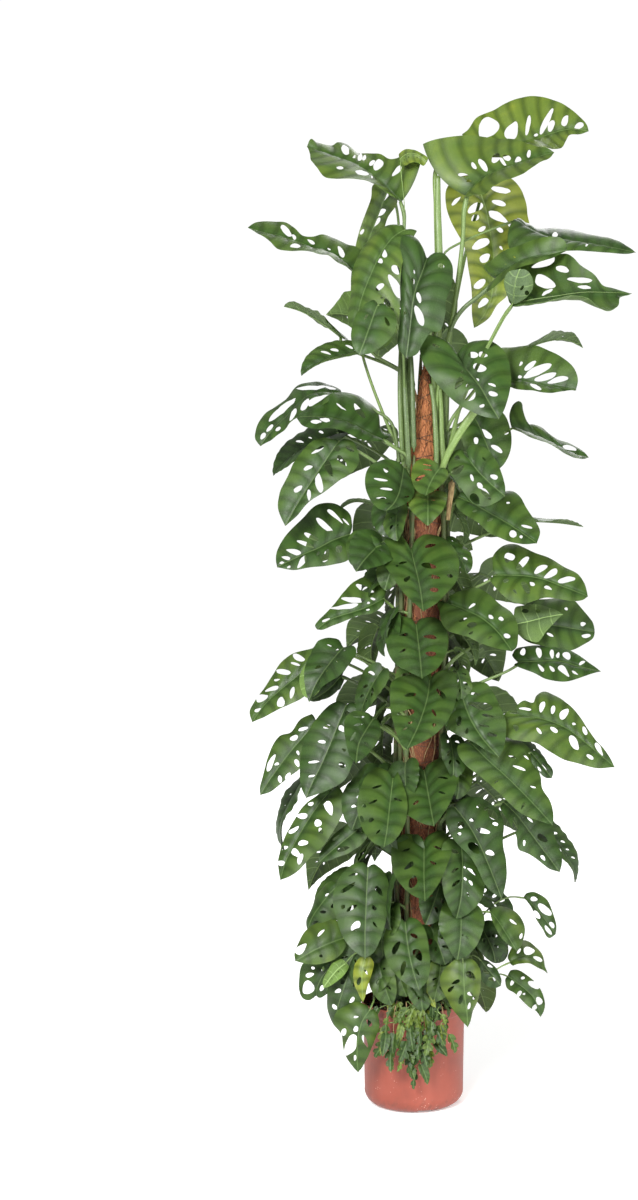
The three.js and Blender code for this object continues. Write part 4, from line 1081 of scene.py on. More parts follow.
# The leaves that show most, each drawn in the picture's pixels with depths in mm. A row: tone (below
# 0 its underside shows), its stalk's thickness and tone, how far its halves swell, the height on its
# stem (or share of its shoot) where the stalk starts, then the points of the stalk, the midrib, the
# right and the left margin, and its holes as drawnHolesOf takes them. A row without holes gets the
# few small ones of a young leaf.
crownRight = [
    [0.5, 4.4, 0.37, 0.05, 1130,
     [(447, 352, -26), (451, 326, -24), (458, 280, -24), (463, 236, -26), (464, 212, -28)],
     [(466, 196, -30), (476, 184, -42), (490, 174, -62), (509, 166, -85), (525, 161, -102),
      (540, 156, -117), (554, 152, -130)],
     [(471, 197, -90), (476, 194, -112), (484, 193, -125), (492, 188, -138), (503, 183, -148),
      (514, 177, -152), (525, 171, -152), (540, 163, -147), (550, 158, -138)],
     [(422, 144, -15), (426, 142, -12), (436, 139, -8), (453, 137, -4), (476, 136, 0), (497, 138, -25),
      (515, 140, -58), (535, 146, -98), (547, 148, -120)],
     [(-1, 496, 158, 11, 8, 60), (-1, 503, 162, 11, 4, -55), (-1, 507, 158, 9, 6, -35),
      (-1, 518, 160, 7, 6, 30), (-1, 529, 154, 8, 4.5, 70), (-1, 474, 166, 9, 4, -50),
      (-1, 483, 165, 14, 6.5, -55), (-1, 463, 175, 12, 3.5, -8), (-1, 469, 181, 6, 3, -8)]],
    [0.58, 4.6, 0.54, 0.06, 1190,
     [(438, 300, 2), (437, 250, 4), (436, 205, 7), (436, 170, 14), (445, 156, 22), (465, 151, 28)],
     [(480, 152, 30), (505, 147, 45), (530, 141, 65), (556, 132, 93), (572, 129, 108), (589, 131, 120)],
     [(486, 157, -12), (500, 156, -18), (520, 152, -5), (540, 147, 15), (554, 148, 32), (562, 147, 50),
      (566, 141, 72), (570, 135, 92), (581, 134, 110)],
     [(462, 134, 42), (468, 130, 48), (476, 119, 60), (492, 111, 75), (509, 101, 90), (528, 97.2, 103),
      (545, 98.4, 112), (564, 104, 119), (578, 115, 122), (586, 124, 122)],
     [(-1, 488, 128, 25, 17, 52), (-1, 512, 131, 20, 12, 74), (-1, 528, 125, 19, 5, 80),
      (-1, 546, 122, 28, 6, 66), (-1, 551, 126, 12, 7, 72), (-1, 565, 121, 13, 6, 62),
      (-1, 579, 126, 10, 7, 20), (-1, 536, 135, 4.5, 3, 30)]],
    [0.74, 3.4, 0.36, 0.07, 1100,
     [(450, 340, 30), (458, 290, 72), (470, 235, 112), (480, 198, 124), (479, 184, 112)],
     [(478, 178, 100), (481, 193, 104), (486, 209, 106), (490, 231, 106), (493, 251, 103), (493, 275, 98),
      (491, 298, 92), (484, 315, 87), (474, 328, 85)],
     [(468, 175, 100), (455, 179, 96), (446, 190, 92), (446, 207, 94), (451, 221, 98), (457, 232, 100),
      (462, 241, 100), (466, 252, 98), (468, 268, 94), (471, 285, 90), (472, 297, 88), (472, 315, 85)],
     [(488, 172, 114), (500, 173, 121), (511, 179, 125), (517, 184, 128), (523, 193, 130),
      (527, 205, 130), (528, 216, 127), (530, 228, 122), (528, 245, 116), (519, 259, 109),
      (510, 273, 101), (508, 294, 95), (497, 305, 91), (489, 318, 87), (478, 326, 85)],
     [(-1, 501, 190, 19, 6.5, -14), (-1, 499, 203, 14, 6, -18), (-1, 498, 217, 21, 8.5, -30),
      (-1, 511, 225, 9, 6, -30), (-1, 500, 230, 7, 5, -20), (1, 475, 208, 16, 9, 30),
      (1, 456, 201, 12, 3.5, 42), (1, 475, 218, 10, 6, 36), (1, 482, 229, 8, 5, 30),
      (1, 481, 244, 20, 8.5, 22), (1, 485, 258, 12, 8, 25), (1, 480, 284, 13, 8, 35),
      (1, 483, 303, 14, 6, 38), (-1, 501, 248, 5, 2.5, -50)]],
    [0.3, 2.2, 0.3, 0.07, 1210,
     [(437, 330, -4), (438, 285, -6), (444, 254, -8), (460, 243, -6), (480, 234, -4), (500, 226, 0)],
     [(517, 219, 5), (530, 228, 15), (548, 236, 25), (570, 240, 36), (601, 245, 48), (636, 252, 60)],
     [(512, 222, -12), (508, 231, -28), (507, 243, -38), (511, 252, -42), (525, 257, -36),
      (546, 256, -16), (565, 252, 2), (587, 251, 22), (604, 252, 36), (628, 254, 55)],
     [(521, 222, 45), (526, 225, 66), (531, 226, 76), (538, 230, 80), (549, 229, 84), (575, 231, 86),
      (601, 236, 80), (619, 242, 72)],
     [(-1, 534, 236, 10, 4.5, 80), (-1, 555, 235, 7, 5, 25), (1, 602, 243, 7, 4.5, 50),
      (1, 587, 245, 5, 2.2, 60), (1, 612, 246, 5, 2.5, 45)]],
    [0.4, 4.4, 0.09, 0.07, 1110, [(447, 350, -22), (452, 326, -26), (463, 309, -30), (480, 295, -35)],
     [(498, 279, -40), (507, 270, -58), (520, 262, -75), (535, 257, -85), (551, 254, -92), (567, 250, -95)],
     [(492, 288, -62), (487, 292, -78), (489, 290, -92), (500, 281, -104), (518, 269, -112),
      (537, 262, -112), (555, 257, -104)],
     [(492, 276, -26), (485, 270, -24), (484, 265, -28), (492, 260, -34), (503, 252, -44),
      (517, 246, -58), (533, 240, -74), (548, 237, -87), (561, 238, -95), (566, 243, -98)]],
    [-0.32, 3.2, 0.45, 0.07, 1080, [(455, 425, -30), (472, 378, -62), (490, 342, -85), (503, 318, -98)],
     [(512, 305, -105), (530, 301, -112), (556, 297, -120), (584, 293, -130), (606, 293, -138),
      (632, 294, -145)],
     [(508, 297, -92), (506, 288, -78), (510, 276, -66), (518, 266, -58), (527, 260, -56),
      (540, 257, -60), (551, 255, -70), (566, 254, -85), (573, 258, -95), (581, 266, -105),
      (594, 274, -115), (603, 285, -125), (613, 288, -135)],
     [(517, 306, -128), (530, 303, -165), (556, 299, -188), (576, 297, -196), (589, 299, -198),
      (600, 307, -192), (609, 310, -186), (618, 306, -176), (620, 298, -162)],
     [(1, 544, 263, 23, 8, 20), (1, 562, 269, 15, 6, -12), (1, 580, 280, 23, 6, -3),
      (1, 545, 282, 24, 11, -24), (1, 584, 287, 13, 4, -5), (1, 547, 292, 12, 4, 32)]],
    [0.08, 1.2, 0.36, 0.16, 1075, [(455, 427, -32), (472, 380, -64), (491, 343, -88), (504, 319, -102)],
     [(513, 304, -110), (514, 291, -122), (516, 279, -127), (520, 269, -124)],
     [(510, 301, -114), (506, 292, -120), (504, 281, -124), (508, 272, -126)],
     [(520, 302, -116), (527, 297, -124), (533, 288, -129), (532, 277, -129), (526, 270, -126)],
     [(-1, 527, 293, 5, 5, 0), (-1, 522, 288, 6, 3, 60)]],
    [0.2, 3.2, 0.36, 0.16, 1230, [(431, 350, -16), (430, 300, -24), (430, 266, -38)],
     [(427, 258, -60), (423, 270, -72), (416, 288, -85), (413, 300, -92), (411, 316, -97),
      (409, 335, -100), (406, 358, -102)],
     [(424, 251, -45), (420, 244, -38), (413, 236, -36), (403, 236, -40), (396, 244, -46),
      (395, 258, -56), (399, 272, -68), (401, 290, -80), (401, 312, -92), (399, 330, -98),
      (398, 346, -101)],
     [(433, 255, -55), (440, 253, -55), (447, 257, -58), (452, 265, -65), (453, 275, -72),
      (451, 287, -82), (446, 300, -92), (445, 315, -100), (439, 331, -107), (431, 332, -106),
      (423, 343, -105), (417, 354, -103)],
     [(-1, 419, 298, 11, 5, -75), (-1, 419, 315, 21, 7.5, -65), (-1, 441, 266, 7, 5, -25),
      (1, 413, 281, 7, 3, -72), (1, 414, 272, 5, 2, -70), (1, 405, 313, 3.6, 3.4, 0)]],
    [0.36, 3.4, 0.39, 0.07, 1060, [(447, 430, -14), (470, 396, -18), (484, 380, -22)],
     [(494, 373, -28), (507, 380, -38), (524, 381, -50), (543, 385, -60), (557, 387, -68), (576, 390, -80)],
     [(498, 381, -48), (510, 387, -72), (528, 390, -90), (544, 393, -94), (562, 391, -90)],
     [(491, 363, -10), (494, 352, 6), (500, 347, 14), (511, 347, 12), (525, 347, 0), (535, 346, -15),
      (546, 349, -28), (557, 354, -42), (568, 362, -55), (575, 370, -66), (578, 380, -75)],
     [(-1, 530, 366, 15, 5.5, 34), (-1, 537, 371, 31, 8.5, 22), (-1, 546, 377, 22, 7, 20),
      (-1, 558, 380, 22, 5.5, 12), (1, 536, 387, 12, 5, -22), (-1, 520, 377, 4, 3.5, 0),
      (-1, 521, 364, 5, 3, 60)]],
    [0.26, 3.6, 0.42, 0.12, 1110, [(437, 410, -30), (441, 376, -45), (448, 362, -55)],
     [(456, 356, -60), (461, 363, -75), (471, 375, -100), (481, 388, -120), (490, 404, -138),
      (499, 419, -150)],
     [(451, 351, -62), (443, 342, -66), (436, 337, -70), (427, 335, -73), (421, 342, -77),
      (421, 356, -84), (425, 368, -95), (434, 381, -105), (445, 392, -115), (457, 403, -128),
      (470, 411, -138), (485, 417, -147)],
     [(464, 349, -58), (470, 342, -58), (479, 340, -62), (489, 341, -68), (498, 346, -76),
      (507, 356, -86), (510, 368, -98), (511, 382, -112), (508, 398, -128), (504, 410, -142)],
     [(-1, 473, 355, 10, 7, -5), (-1, 483, 355, 10, 6, -8), (-1, 480, 368, 13, 9, -12),
      (-1, 477, 380, 4.6, 4, 0), (-1, 493, 394, 10, 5.5, -12), (-1, 492, 385, 8, 3, -20),
      (1, 470, 395, 15, 10, 55), (1, 459, 383, 13, 6.5, 60), (1, 468, 386, 5, 4, 40),
      (1, 482, 406, 5.5, 3.5, 30), (1, 436, 346, 9, 2.8, -18), (1, 462, 372, 4, 2.6, 40)]],
    [0.34, 2.2, 0.54, 0.07, 1020, [(470, 462, -6), (488, 446, -2), (500, 436, 4)],
     [(512, 427, 10), (525, 432, 14), (540, 438, 20), (557, 446, 26), (573, 453, 34), (589, 457, 42)],
     [(518, 431, -15), (532, 437, -25), (548, 444, -20), (562, 451, -8), (575, 458, 8), (584, 459, 28)],
     [(510, 421, 22), (510, 413, 36), (513, 405, 46), (519, 402, 50), (522, 406, 48), (521, 416, 38),
      (524, 424, 34), (533, 424, 40), (542, 428, 46), (548, 434, 46), (558, 440, 50), (569, 443, 54),
      (580, 449, 50)], [(-1, 570, 448, 16, 4.5, -14), (1, 580, 455, 7, 3, -25)]],
]

crownLeft = [
    [0.46, 3.6, 0.24, 0.05, 1180, [(404, 330, 4), (404, 270, 4), (404, 232, 4), (404, 214, 3)],
     [(401, 202, 0), (391, 192, 10), (378, 179, 18), (368, 171, 22), (355, 163, 25), (338, 157, 27),
      (323, 152, 29), (307, 146, 30)],
     [(422, 160, -14), (417, 154, -6), (408, 153, 6), (396, 158, 28), (389, 159, 44), (380, 155, 60),
      (368, 154, 74), (357, 152, 84), (347, 143, 86), (338, 142, 80), (332, 146, 70), (317, 143, 50),
      (311, 139, 38)],
     [(394, 197, -12), (383, 190, -30), (372, 184, -48), (354, 179, -60), (338, 177, -62),
      (325, 176, -55), (316, 168, -40), (311, 161, -20), (310, 153, 5)],
     [(1, 345, 150, 12, 6.5, -65), (1, 354, 157, 4, 2.6, 60), (1, 360, 157, 8, 5, 80),
      (1, 364, 158, 7, 3, 75), (1, 372, 163, 8, 4.6, 40), (1, 378, 165, 14, 8, 55),
      (1, 397, 171, 15, 5, 45), (-1, 340, 168, 8, 3, -4), (-1, 362, 173, 14, 5, -16),
      (-1, 372, 177, 3, 2.4, 0)]],
    [-0.7, 0.8, 0.48, 0.07, 1185,
     [(405, 330, 8), (405, 262, 8), (405, 226, 8), (404, 200, -4), (401, 172, -12)],
     [(400, 160, -14), (408, 154, -22), (418, 155, -28), (427, 162, -30)],
     [(399, 154, 2), (406, 149, -10), (414, 150, -18), (421, 153, -24), (428, 158, -28)],
     [(404, 166, -22), (410, 163, -34), (418, 162, -38), (423, 166, -34)]],
    [0.56, 2.8, 0.36, 0.07, 1150, [(403, 330, 30), (400, 260, 62), (397, 210, 86)],
     [(390, 184, 75), (384, 200, 75), (377, 218, 75), (368, 242, 75), (360, 270, 72), (354, 303, 70)],
     [(382, 182, 72), (373, 185, 70), (371, 198, 68), (366, 212, 68), (361, 226, 68), (356, 244, 68),
      (352, 268, 68), (351, 286, 68)],
     [(396, 188, 82), (397, 203, 84), (388, 217, 84), (384, 229, 84), (376, 246, 82), (369, 268, 78),
      (361, 290, 74)],
     [(-1, 384, 196, 11, 6.5, 30), (-1, 381, 212, 11, 6.5, 40), (-1, 376, 222, 11, 6, 40),
      (-1, 364, 244, 12, 7, 46), (1, 362, 232, 7, 3, 60)]],
    [0.4, 2.8, 0.18, 0.04, 1120, [(400, 350, -4), (388, 306, -8), (372, 285, -6)],
     [(357, 274, 0), (348, 266, 5), (338, 258, 8), (324, 250, 10), (311, 247, 10), (302, 243, 10),
      (290, 239, 10), (278, 235, 10), (263, 232, 10), (248, 227, 10)],
     [(364, 262, 6), (362, 253, 24), (355, 247, 40), (348, 245, 46), (335, 238, 47), (323, 234, 42),
      (312, 237, 27), (303, 236, 18), (294, 228, 32), (285, 222, 42), (274, 221, 44), (258, 222, 30)],
     [(356, 276, -14), (348, 267, -40), (338, 261, -55), (328, 255, -52), (319, 255, -47),
      (309, 252, -38), (302, 251, -33), (288, 250, -36), (278, 248, -36), (268, 240, -20), (255, 232, -2)],
     [(1, 286, 231, 15, 6.5, -42), (1, 294, 237, 6, 4, -50), (-1, 295, 246, 11, 4.5, 5),
      (1, 311, 242, 9, 3.6, -28), (1, 341, 252, 13, 5.5, -58), (1, 329, 249, 4, 2, -40)]],
    [0.44, 3.2, 0.3, 0.08, 1200, [(410, 330, -10), (412, 270, -22), (409, 240, -30)],
     [(405, 229, -35), (393, 237, -45), (381, 253, -55), (370, 276, -65), (361, 300, -74), (354, 333, -84)],
     [(400, 225, -20), (388, 226, -14), (376, 231, -14), (363, 247, -22), (353, 272, -35),
      (350, 298, -50), (348, 318, -66)],
     [(417, 231, -28), (410, 243, -50), (403, 262, -75), (400, 290, -90), (399, 315, -96),
      (395, 337, -98), (382, 350, -96), (367, 348, -92)],
     [(-1, 384, 253, 12, 5, -75), (-1, 380, 261, 6, 5.6, 0), (-1, 396, 270, 12, 7, -45),
      (-1, 395, 286, 24, 9, -62), (-1, 380, 287, 10, 6, 42), (-1, 387, 303, 11, 6, -62),
      (-1, 392, 310, 4.6, 4, 0), (-1, 382, 298, 3, 2, 0)]],
    [0.32, 2.6, 0.27, 0.1, 1120, [(404, 372, -50), (400, 335, -90), (390, 312, -112)],
     [(378, 304, -118), (374, 314, -126), (369, 328, -136), (364, 342, -146), (359, 355, -152)],
     [(373, 300, -114), (365, 304, -116), (358, 312, -120), (353, 324, -130), (351, 337, -140),
      (354, 348, -148)],
     [(384, 304, -114), (391, 309, -116), (396, 318, -122), (395, 331, -132), (386, 343, -142),
      (371, 353, -150)], [(-1, 387, 322, 10, 4, -62), (1, 366, 317, 7, 3, 55)]],
    [0.28, 3.0, 0.21, 0.05, 1030, [(392, 424, -6), (370, 408, -4), (353, 397, -2)],
     [(341, 394, 0), (330, 392, -2), (319, 392, -6), (308, 395, -10), (297, 404, -14), (287, 415, -18),
      (275, 427, -20), (265, 439, -20), (260, 446, -20)],
     [(338, 388, 20), (329, 384, 38), (319, 382, 50), (308, 384, 56), (297, 387, 53), (287, 397, 41),
      (276, 406, 31), (265, 415, 15), (257, 427, 0), (255, 438, -12)],
     [(337, 398, -22), (326, 404, -46), (312, 411, -61), (300, 416, -63), (290, 424, -59),
      (285, 430, -51), (278, 434, -43), (271, 440, -32)],
     [(1, 311, 388, 28, 4.6, 5), (1, 283, 409, 36, 6.5, 38), (-1, 318, 400, 26, 6, 24),
      (-1, 305, 405, 13, 6.6, 60), (-1, 293, 415, 13, 5, 66), (1, 270, 428, 9, 4, 48),
      (-1, 278, 429, 6, 4, 50), (1, 330, 388, 12, 3, -12), (1, 263, 436, 8, 4.5, 55)]],
    [0.23, 3.6, 0.24, 0.08, 1010, [(408, 458, -34), (397, 449, -36)],
     [(384, 440, -38), (374, 435, -45), (366, 431, -52), (351, 423, -60), (333, 418, -68),
      (315, 416, -75), (296, 417, -80)],
     [(391, 433, -14), (383, 432, -8), (379, 425, 0), (376, 411, 8), (368, 402, 12), (358, 394, 10),
      (347, 392, 0), (333, 394, -15), (319, 402, -35), (305, 410, -60)],
     [(379, 442, -60), (368, 441, -78), (361, 439, -88), (350, 434, -98), (341, 431, -105),
      (328, 428, -108), (314, 428, -104), (303, 426, -95)],
     [(1, 359, 411, 17, 6, -54), (-1, 316, 422, 11, 4.4, 4), (-1, 325, 420, 11, 4.6, -8),
      (1, 341, 407, 12, 2.2, -38)]],
    [0.32, 3.0, 0.24, 0.09, 960, [(397, 478, -34), (375, 462, -44), (354, 449, -48)],
     [(339, 441, -50), (331, 452, -56), (321, 467, -64), (311, 482, -72), (298, 503, -80), (285, 526, -85)],
     [(333, 439, -46), (324, 438, -42), (312, 442, -40), (301, 452, -42), (294, 462, -48),
      (288, 477, -56), (280, 492, -66), (278, 508, -76)],
     [(345, 439, -50), (353, 442, -54), (358, 452, -60), (358, 464, -68), (352, 473, -76),
      (339, 481, -84), (325, 491, -90), (309, 502, -92), (297, 516, -90)],
     [(-1, 328, 467, 18, 8, -66), (-1, 342, 461, 13, 5.6, -52), (-1, 337, 449, 7, 6, 0),
      (-1, 350, 449, 10, 4.6, -30), (-1, 319, 483, 19, 8, -78), (1, 308, 468, 10, 4.4, 28),
      (1, 298, 489, 11, 5, 36), (-1, 309, 495, 12, 4, -84), (1, 318, 450, 14, 4, 30)]],
]

bushLeft = [
    [0.42, 1.8, 0.3, 0.1, 0.45, [(374, 996, -80), (374, 1000, -98)],
     [(370, 1010, -112), (362, 1022, -122), (358, 1038, -126), (357, 1055, -126), (358, 1073, -122)],
     [(366, 1005, -106), (357, 1002, -104), (345, 1006, -104), (336, 1013, -104), (334, 1023, -106),
      (341, 1034, -110), (343, 1046, -114), (346, 1056, -116), (352, 1065, -118)],
     [(374, 1009, -108), (378, 1016, -108), (379, 1026, -110), (376, 1037, -114), (370, 1051, -118),
      (364, 1064, -120)],
     [(1, 344, 1032, 9, 5, 75), (1, 356, 1029, 7, 5, 80), (1, 351, 1045, 23, 11, 72),
      (1, 355, 1058, 6, 3, 80), (1, 356, 1017, 5, 2.4, 10), (-1, 365, 1041, 13, 4, -70),
      (-1, 369, 1023, 8, 5, -60)]],
    [0.28, 1.6, 0.3, 0.08, 0.5, [(368, 968, -50), (358, 962, -62)],
     [(351, 965, -74), (347, 978, -84), (342, 993, -90), (337, 1010, -92), (336, 1028, -90)],
     [(346, 963, -66), (338, 968, -60), (331, 980, -60), (327, 993, -62), (328, 1008, -66),
      (331, 1020, -76)],
     [(357, 967, -76), (364, 978, -80), (364, 992, -84), (358, 1008, -88), (348, 1021, -90)],
     [(1, 343, 982, 6, 5, 40), (1, 338, 991, 7, 4, 20), (1, 335, 1007, 7, 4.4, -50),
      (-1, 352, 1000, 8, 3.6, 55), (-1, 355, 984, 8, 3, 50)]],
    [0.46, 1.8, 0.3, 0.1, 0.8, [(368, 925, -50), (355, 930, -60)],
     [(344, 938, -70), (335, 941, -78), (323, 946, -84), (309, 953, -88), (295, 961, -88)],
     [(341, 928, -60), (334, 919, -52), (321, 921, -50), (309, 928, -54), (300, 940, -62), (295, 951, -74)],
     [(346, 946, -78), (341, 954, -88), (331, 961, -94), (320, 964, -96), (308, 964, -94)],
     [(1, 301, 949, 14, 8, 38), (-1, 321, 956, 4, 3, 0), (1, 321, 933, 10, 3, 40)]],
    [0.3, 1.6, 0.3, 0.06, 0.6, [(368, 955, -34), (354, 956, -40)],
     [(344, 958, -46), (333, 965, -50), (324, 974, -52), (318, 985, -52), (316, 996, -50)],
     [(339, 952, -38), (326, 953, -30), (312, 957, -26), (302, 966, -26), (299, 979, -30),
      (299, 990, -36), (303, 998, -42), (309, 1000, -46)],
     [(347, 966, -52), (344, 978, -56), (336, 988, -58), (327, 994, -56), (320, 998, -53)],
     [(1, 310, 975, 9, 5, 8), (1, 313, 968, 4, 3, 0), (1, 323, 969, 5, 3, 60), (1, 318, 960, 5, 3, 10),
      (1, 308, 988, 15, 11, 55), (-1, 329, 976, 7, 4, 70), (-1, 322, 988, 7, 4, 65),
      (-1, 336, 979, 5, 3, 50)]],
    [-0.62, 1.2, 0.42, 0.16, 0.65, [(366, 950, -66), (354, 954, -78)],
     [(346, 963, -88), (338, 969, -94), (331, 977, -98), (323, 988, -98)],
     [(341, 959, -84), (333, 963, -88), (327, 972, -92), (323, 981, -96)],
     [(349, 967, -90), (345, 974, -98), (336, 982, -102), (328, 987, -100)]],
    [0.86, 1.4, 0.48, 0.14, 0.6, [(372, 950, -92), (369, 951, -104)],
     [(365, 958, -112), (362, 970, -120), (362, 984, -124), (363, 1003, -124)],
     [(360, 957, -108), (355, 965, -106), (353, 976, -108), (356, 988, -114), (360, 997, -120)],
     [(370, 957, -108), (374, 964, -106), (371, 975, -110), (367, 988, -118), (365, 997, -122)],
     [(1, 359, 981, 9, 4, 70), (-1, 366, 972, 6, 2.4, -60)]],
    [0.36, 1.8, 0.24, 0.08, 0.95, [(352, 884, -30), (345, 880, -34)],
     [(338, 885, -40), (330, 893, -44), (321, 904, -46), (312, 917, -46), (307, 930, -44)],
     [(334, 881, -30), (326, 884, -22), (317, 895, -18), (313, 906, -20), (307, 918, -28)],
     [(343, 890, -46), (346, 902, -52), (341, 914, -54), (330, 924, -54), (318, 930, -50)],
     [(1, 327, 895, 5, 3, 50), (-1, 323, 912, 6, 3.6, 0), (-1, 315, 923, 7, 5, 10),
      (-1, 334, 905, 9, 4, 50)]],
]

bushRight = [
    [0.54, 1.8, 0.42, 0.1, 0.5, [(458, 955, -84), (461, 952, -98)],
     [(463, 962, -106), (464, 982, -118), (465, 998, -124), (467, 1012, -126), (468, 1028, -122)],
     [(458, 958, -104), (452, 962, -104), (443, 971, -104), (440, 982, -106), (446, 997, -110),
      (452, 1008, -114), (460, 1018, -120)],
     [(467, 958, -102), (473, 960, -98), (479, 968, -96), (481, 982, -100), (479, 996, -106),
      (473, 1010, -114), (471, 1019, -118)],
     [(-1, 471, 976, 12, 6.5, -38), (1, 456, 982, 9, 4, 30), (1, 451, 989, 8, 4, 45),
      (-1, 470, 994, 7, 3.4, -25), (1, 461, 999, 10, 4.6, 70), (-1, 474, 998, 4, 2.6, 60),
      (-1, 469, 1006, 7, 3, 75)]],
    [0.44, 1.8, 0.45, 0.09, 0.85, [(468, 922, -52), (480, 912, -50)],
     [(490, 911, -50), (497, 919, -58), (504, 930, -66), (511, 941, -72), (517, 951, -74)],
     [(491, 916, -58), (494, 925, -70), (499, 934, -78), (506, 943, -80)],
     [(492, 907, -36), (501, 907, -24), (512, 909, -18), (519, 915, -20), (524, 928, -28),
      (524, 938, -42), (521, 946, -60)], [(-1, 521, 936, 6, 3.6, 70), (-1, 513, 922, 9, 3, -40)]],
    [0.34, 1.6, 0.36, 0.08, 0.8, [(470, 925, -30), (494, 904, -14), (510, 897, -2)],
     [(524, 897, 6), (532, 904, 6), (541, 914, 4), (549, 925, 2), (556, 934, 0)],
     [(527, 901, 0), (532, 909, -8), (537, 920, -12), (543, 930, -12), (549, 938, -8)],
     [(527, 893, 14), (534, 892, 22), (541, 895, 26), (548, 902, 26), (553, 913, 20), (556, 925, 10)],
     [(-1, 534, 899, 8, 4.6, 0), (-1, 545, 910, 16, 8, -38), (1, 537, 915, 10, 5.4, -58),
      (-1, 552, 925, 8, 4, -60), (1, 548, 930, 11, 4.4, -52)]],
    [0.52, 1.5, 0.51, 0.1, 0.6, [(466, 962, -46), (490, 972, -40), (502, 966, -32)],
     [(510, 962, -28), (519, 958, -28), (529, 958, -30), (538, 963, -32), (548, 973, -34)],
     [(513, 966, -42), (521, 963, -52), (530, 964, -54), (539, 968, -46)],
     [(508, 955, -14), (513, 946, 0), (521, 941, 6), (530, 942, 8), (538, 949, 4), (543, 958, -8),
      (545, 967, -22)],
     [(-1, 529, 951, 12, 8, 10), (-1, 538, 959, 10, 4.4, -20), (-1, 519, 951, 6, 3, 50)]],
    [0.4, 1.4, 0.42, 0.09, 0.45, [(462, 976, -26), (488, 978, -8), (500, 974, 0)],
     [(508, 976, 6), (516, 982, 6), (525, 989, 6), (534, 998, 4), (541, 1017, 2)],
     [(505, 980, -2), (507, 988, -8), (514, 993, -12), (522, 1000, -12), (530, 1008, -8), (536, 1011, -4)],
     [(511, 970, 14), (517, 970, 20), (525, 974, 22), (534, 981, 20), (541, 991, 16), (545, 1003, 10),
      (544, 1010, 6)],
     [(1, 512, 983, 6, 4, 70), (-1, 523, 978, 4, 3.4, 0), (-1, 534, 985, 12, 7, -30),
      (-1, 539, 1001, 9, 7, -50), (1, 519, 994, 8, 4, 60), (1, 535, 1007, 7, 5, 40),
      (1, 524, 994, 3, 2.4, 0)]],
    [0.24, 1.4, 0.36, 0.1, 0.55, [(464, 958, -40), (474, 955, -42)],
     [(481, 960, -46), (487, 968, -50), (493, 975, -52), (501, 986, -52)],
     [(479, 965, -52), (480, 974, -58), (483, 982, -60), (489, 987, -58), (495, 988, -54)],
     [(485, 960, -38), (491, 963, -34), (497, 970, -36), (501, 978, -44)],
     [(-1, 490, 966, 6, 3, -30), (1, 486, 972, 7, 3.6, -20), (1, 492, 979, 9, 5, -15)]],
    [-0.3, 1.5, 0.48, 0.07, 0.75, [(470, 930, -20), (484, 926, -14)],
     [(493, 929, -14), (494, 938, -18), (496, 950, -20), (499, 963, -20)],
     [(498, 928, -6), (504, 933, 0), (508, 943, 0), (508, 953, -8), (504, 961, -16)],
     [(488, 929, -20), (484, 937, -26), (483, 948, -30), (487, 958, -28), (494, 963, -24)],
     [(-1, 488, 946, 8, 3.4, 80), (1, 500, 947, 13, 5, 80), (1, 497, 935, 5, 2.4, 60)]],
    [-0.9, 1.0, 0.54, 0.2, 0.4, [(434, 968, -86), (432, 972, -94)],
     [(430, 980, -100), (429, 990, -106), (431, 999, -109), (436, 1008, -109)],
     [(432, 981, -98), (434, 990, -101), (435, 999, -105)],
     [(428, 982, -99), (426, 991, -103), (428, 1000, -107), (432, 1006, -109)]],
]

# The sketched leaves of four stems
rightTallSketches = [
    [0.32, 10, -0.7, 0.5, 0.1, [(473, 415), (480, 428), (486, 443), (492, 457), (498, 470)],
     [(478, 408), (492, 407), (505, 416), (511, 432), (510, 452), (504, 464)],
     [(468, 414), (461, 424), (461, 438), (468, 453), (482, 463), (492, 468)],
     [(486, 434, 15, 6, -35), (497, 449, 14, 5, -38), (476, 441, 8, 5, -80), (506, 433, 5, 4, 0),
      (482, 451, 6, 4, -60)]],
]

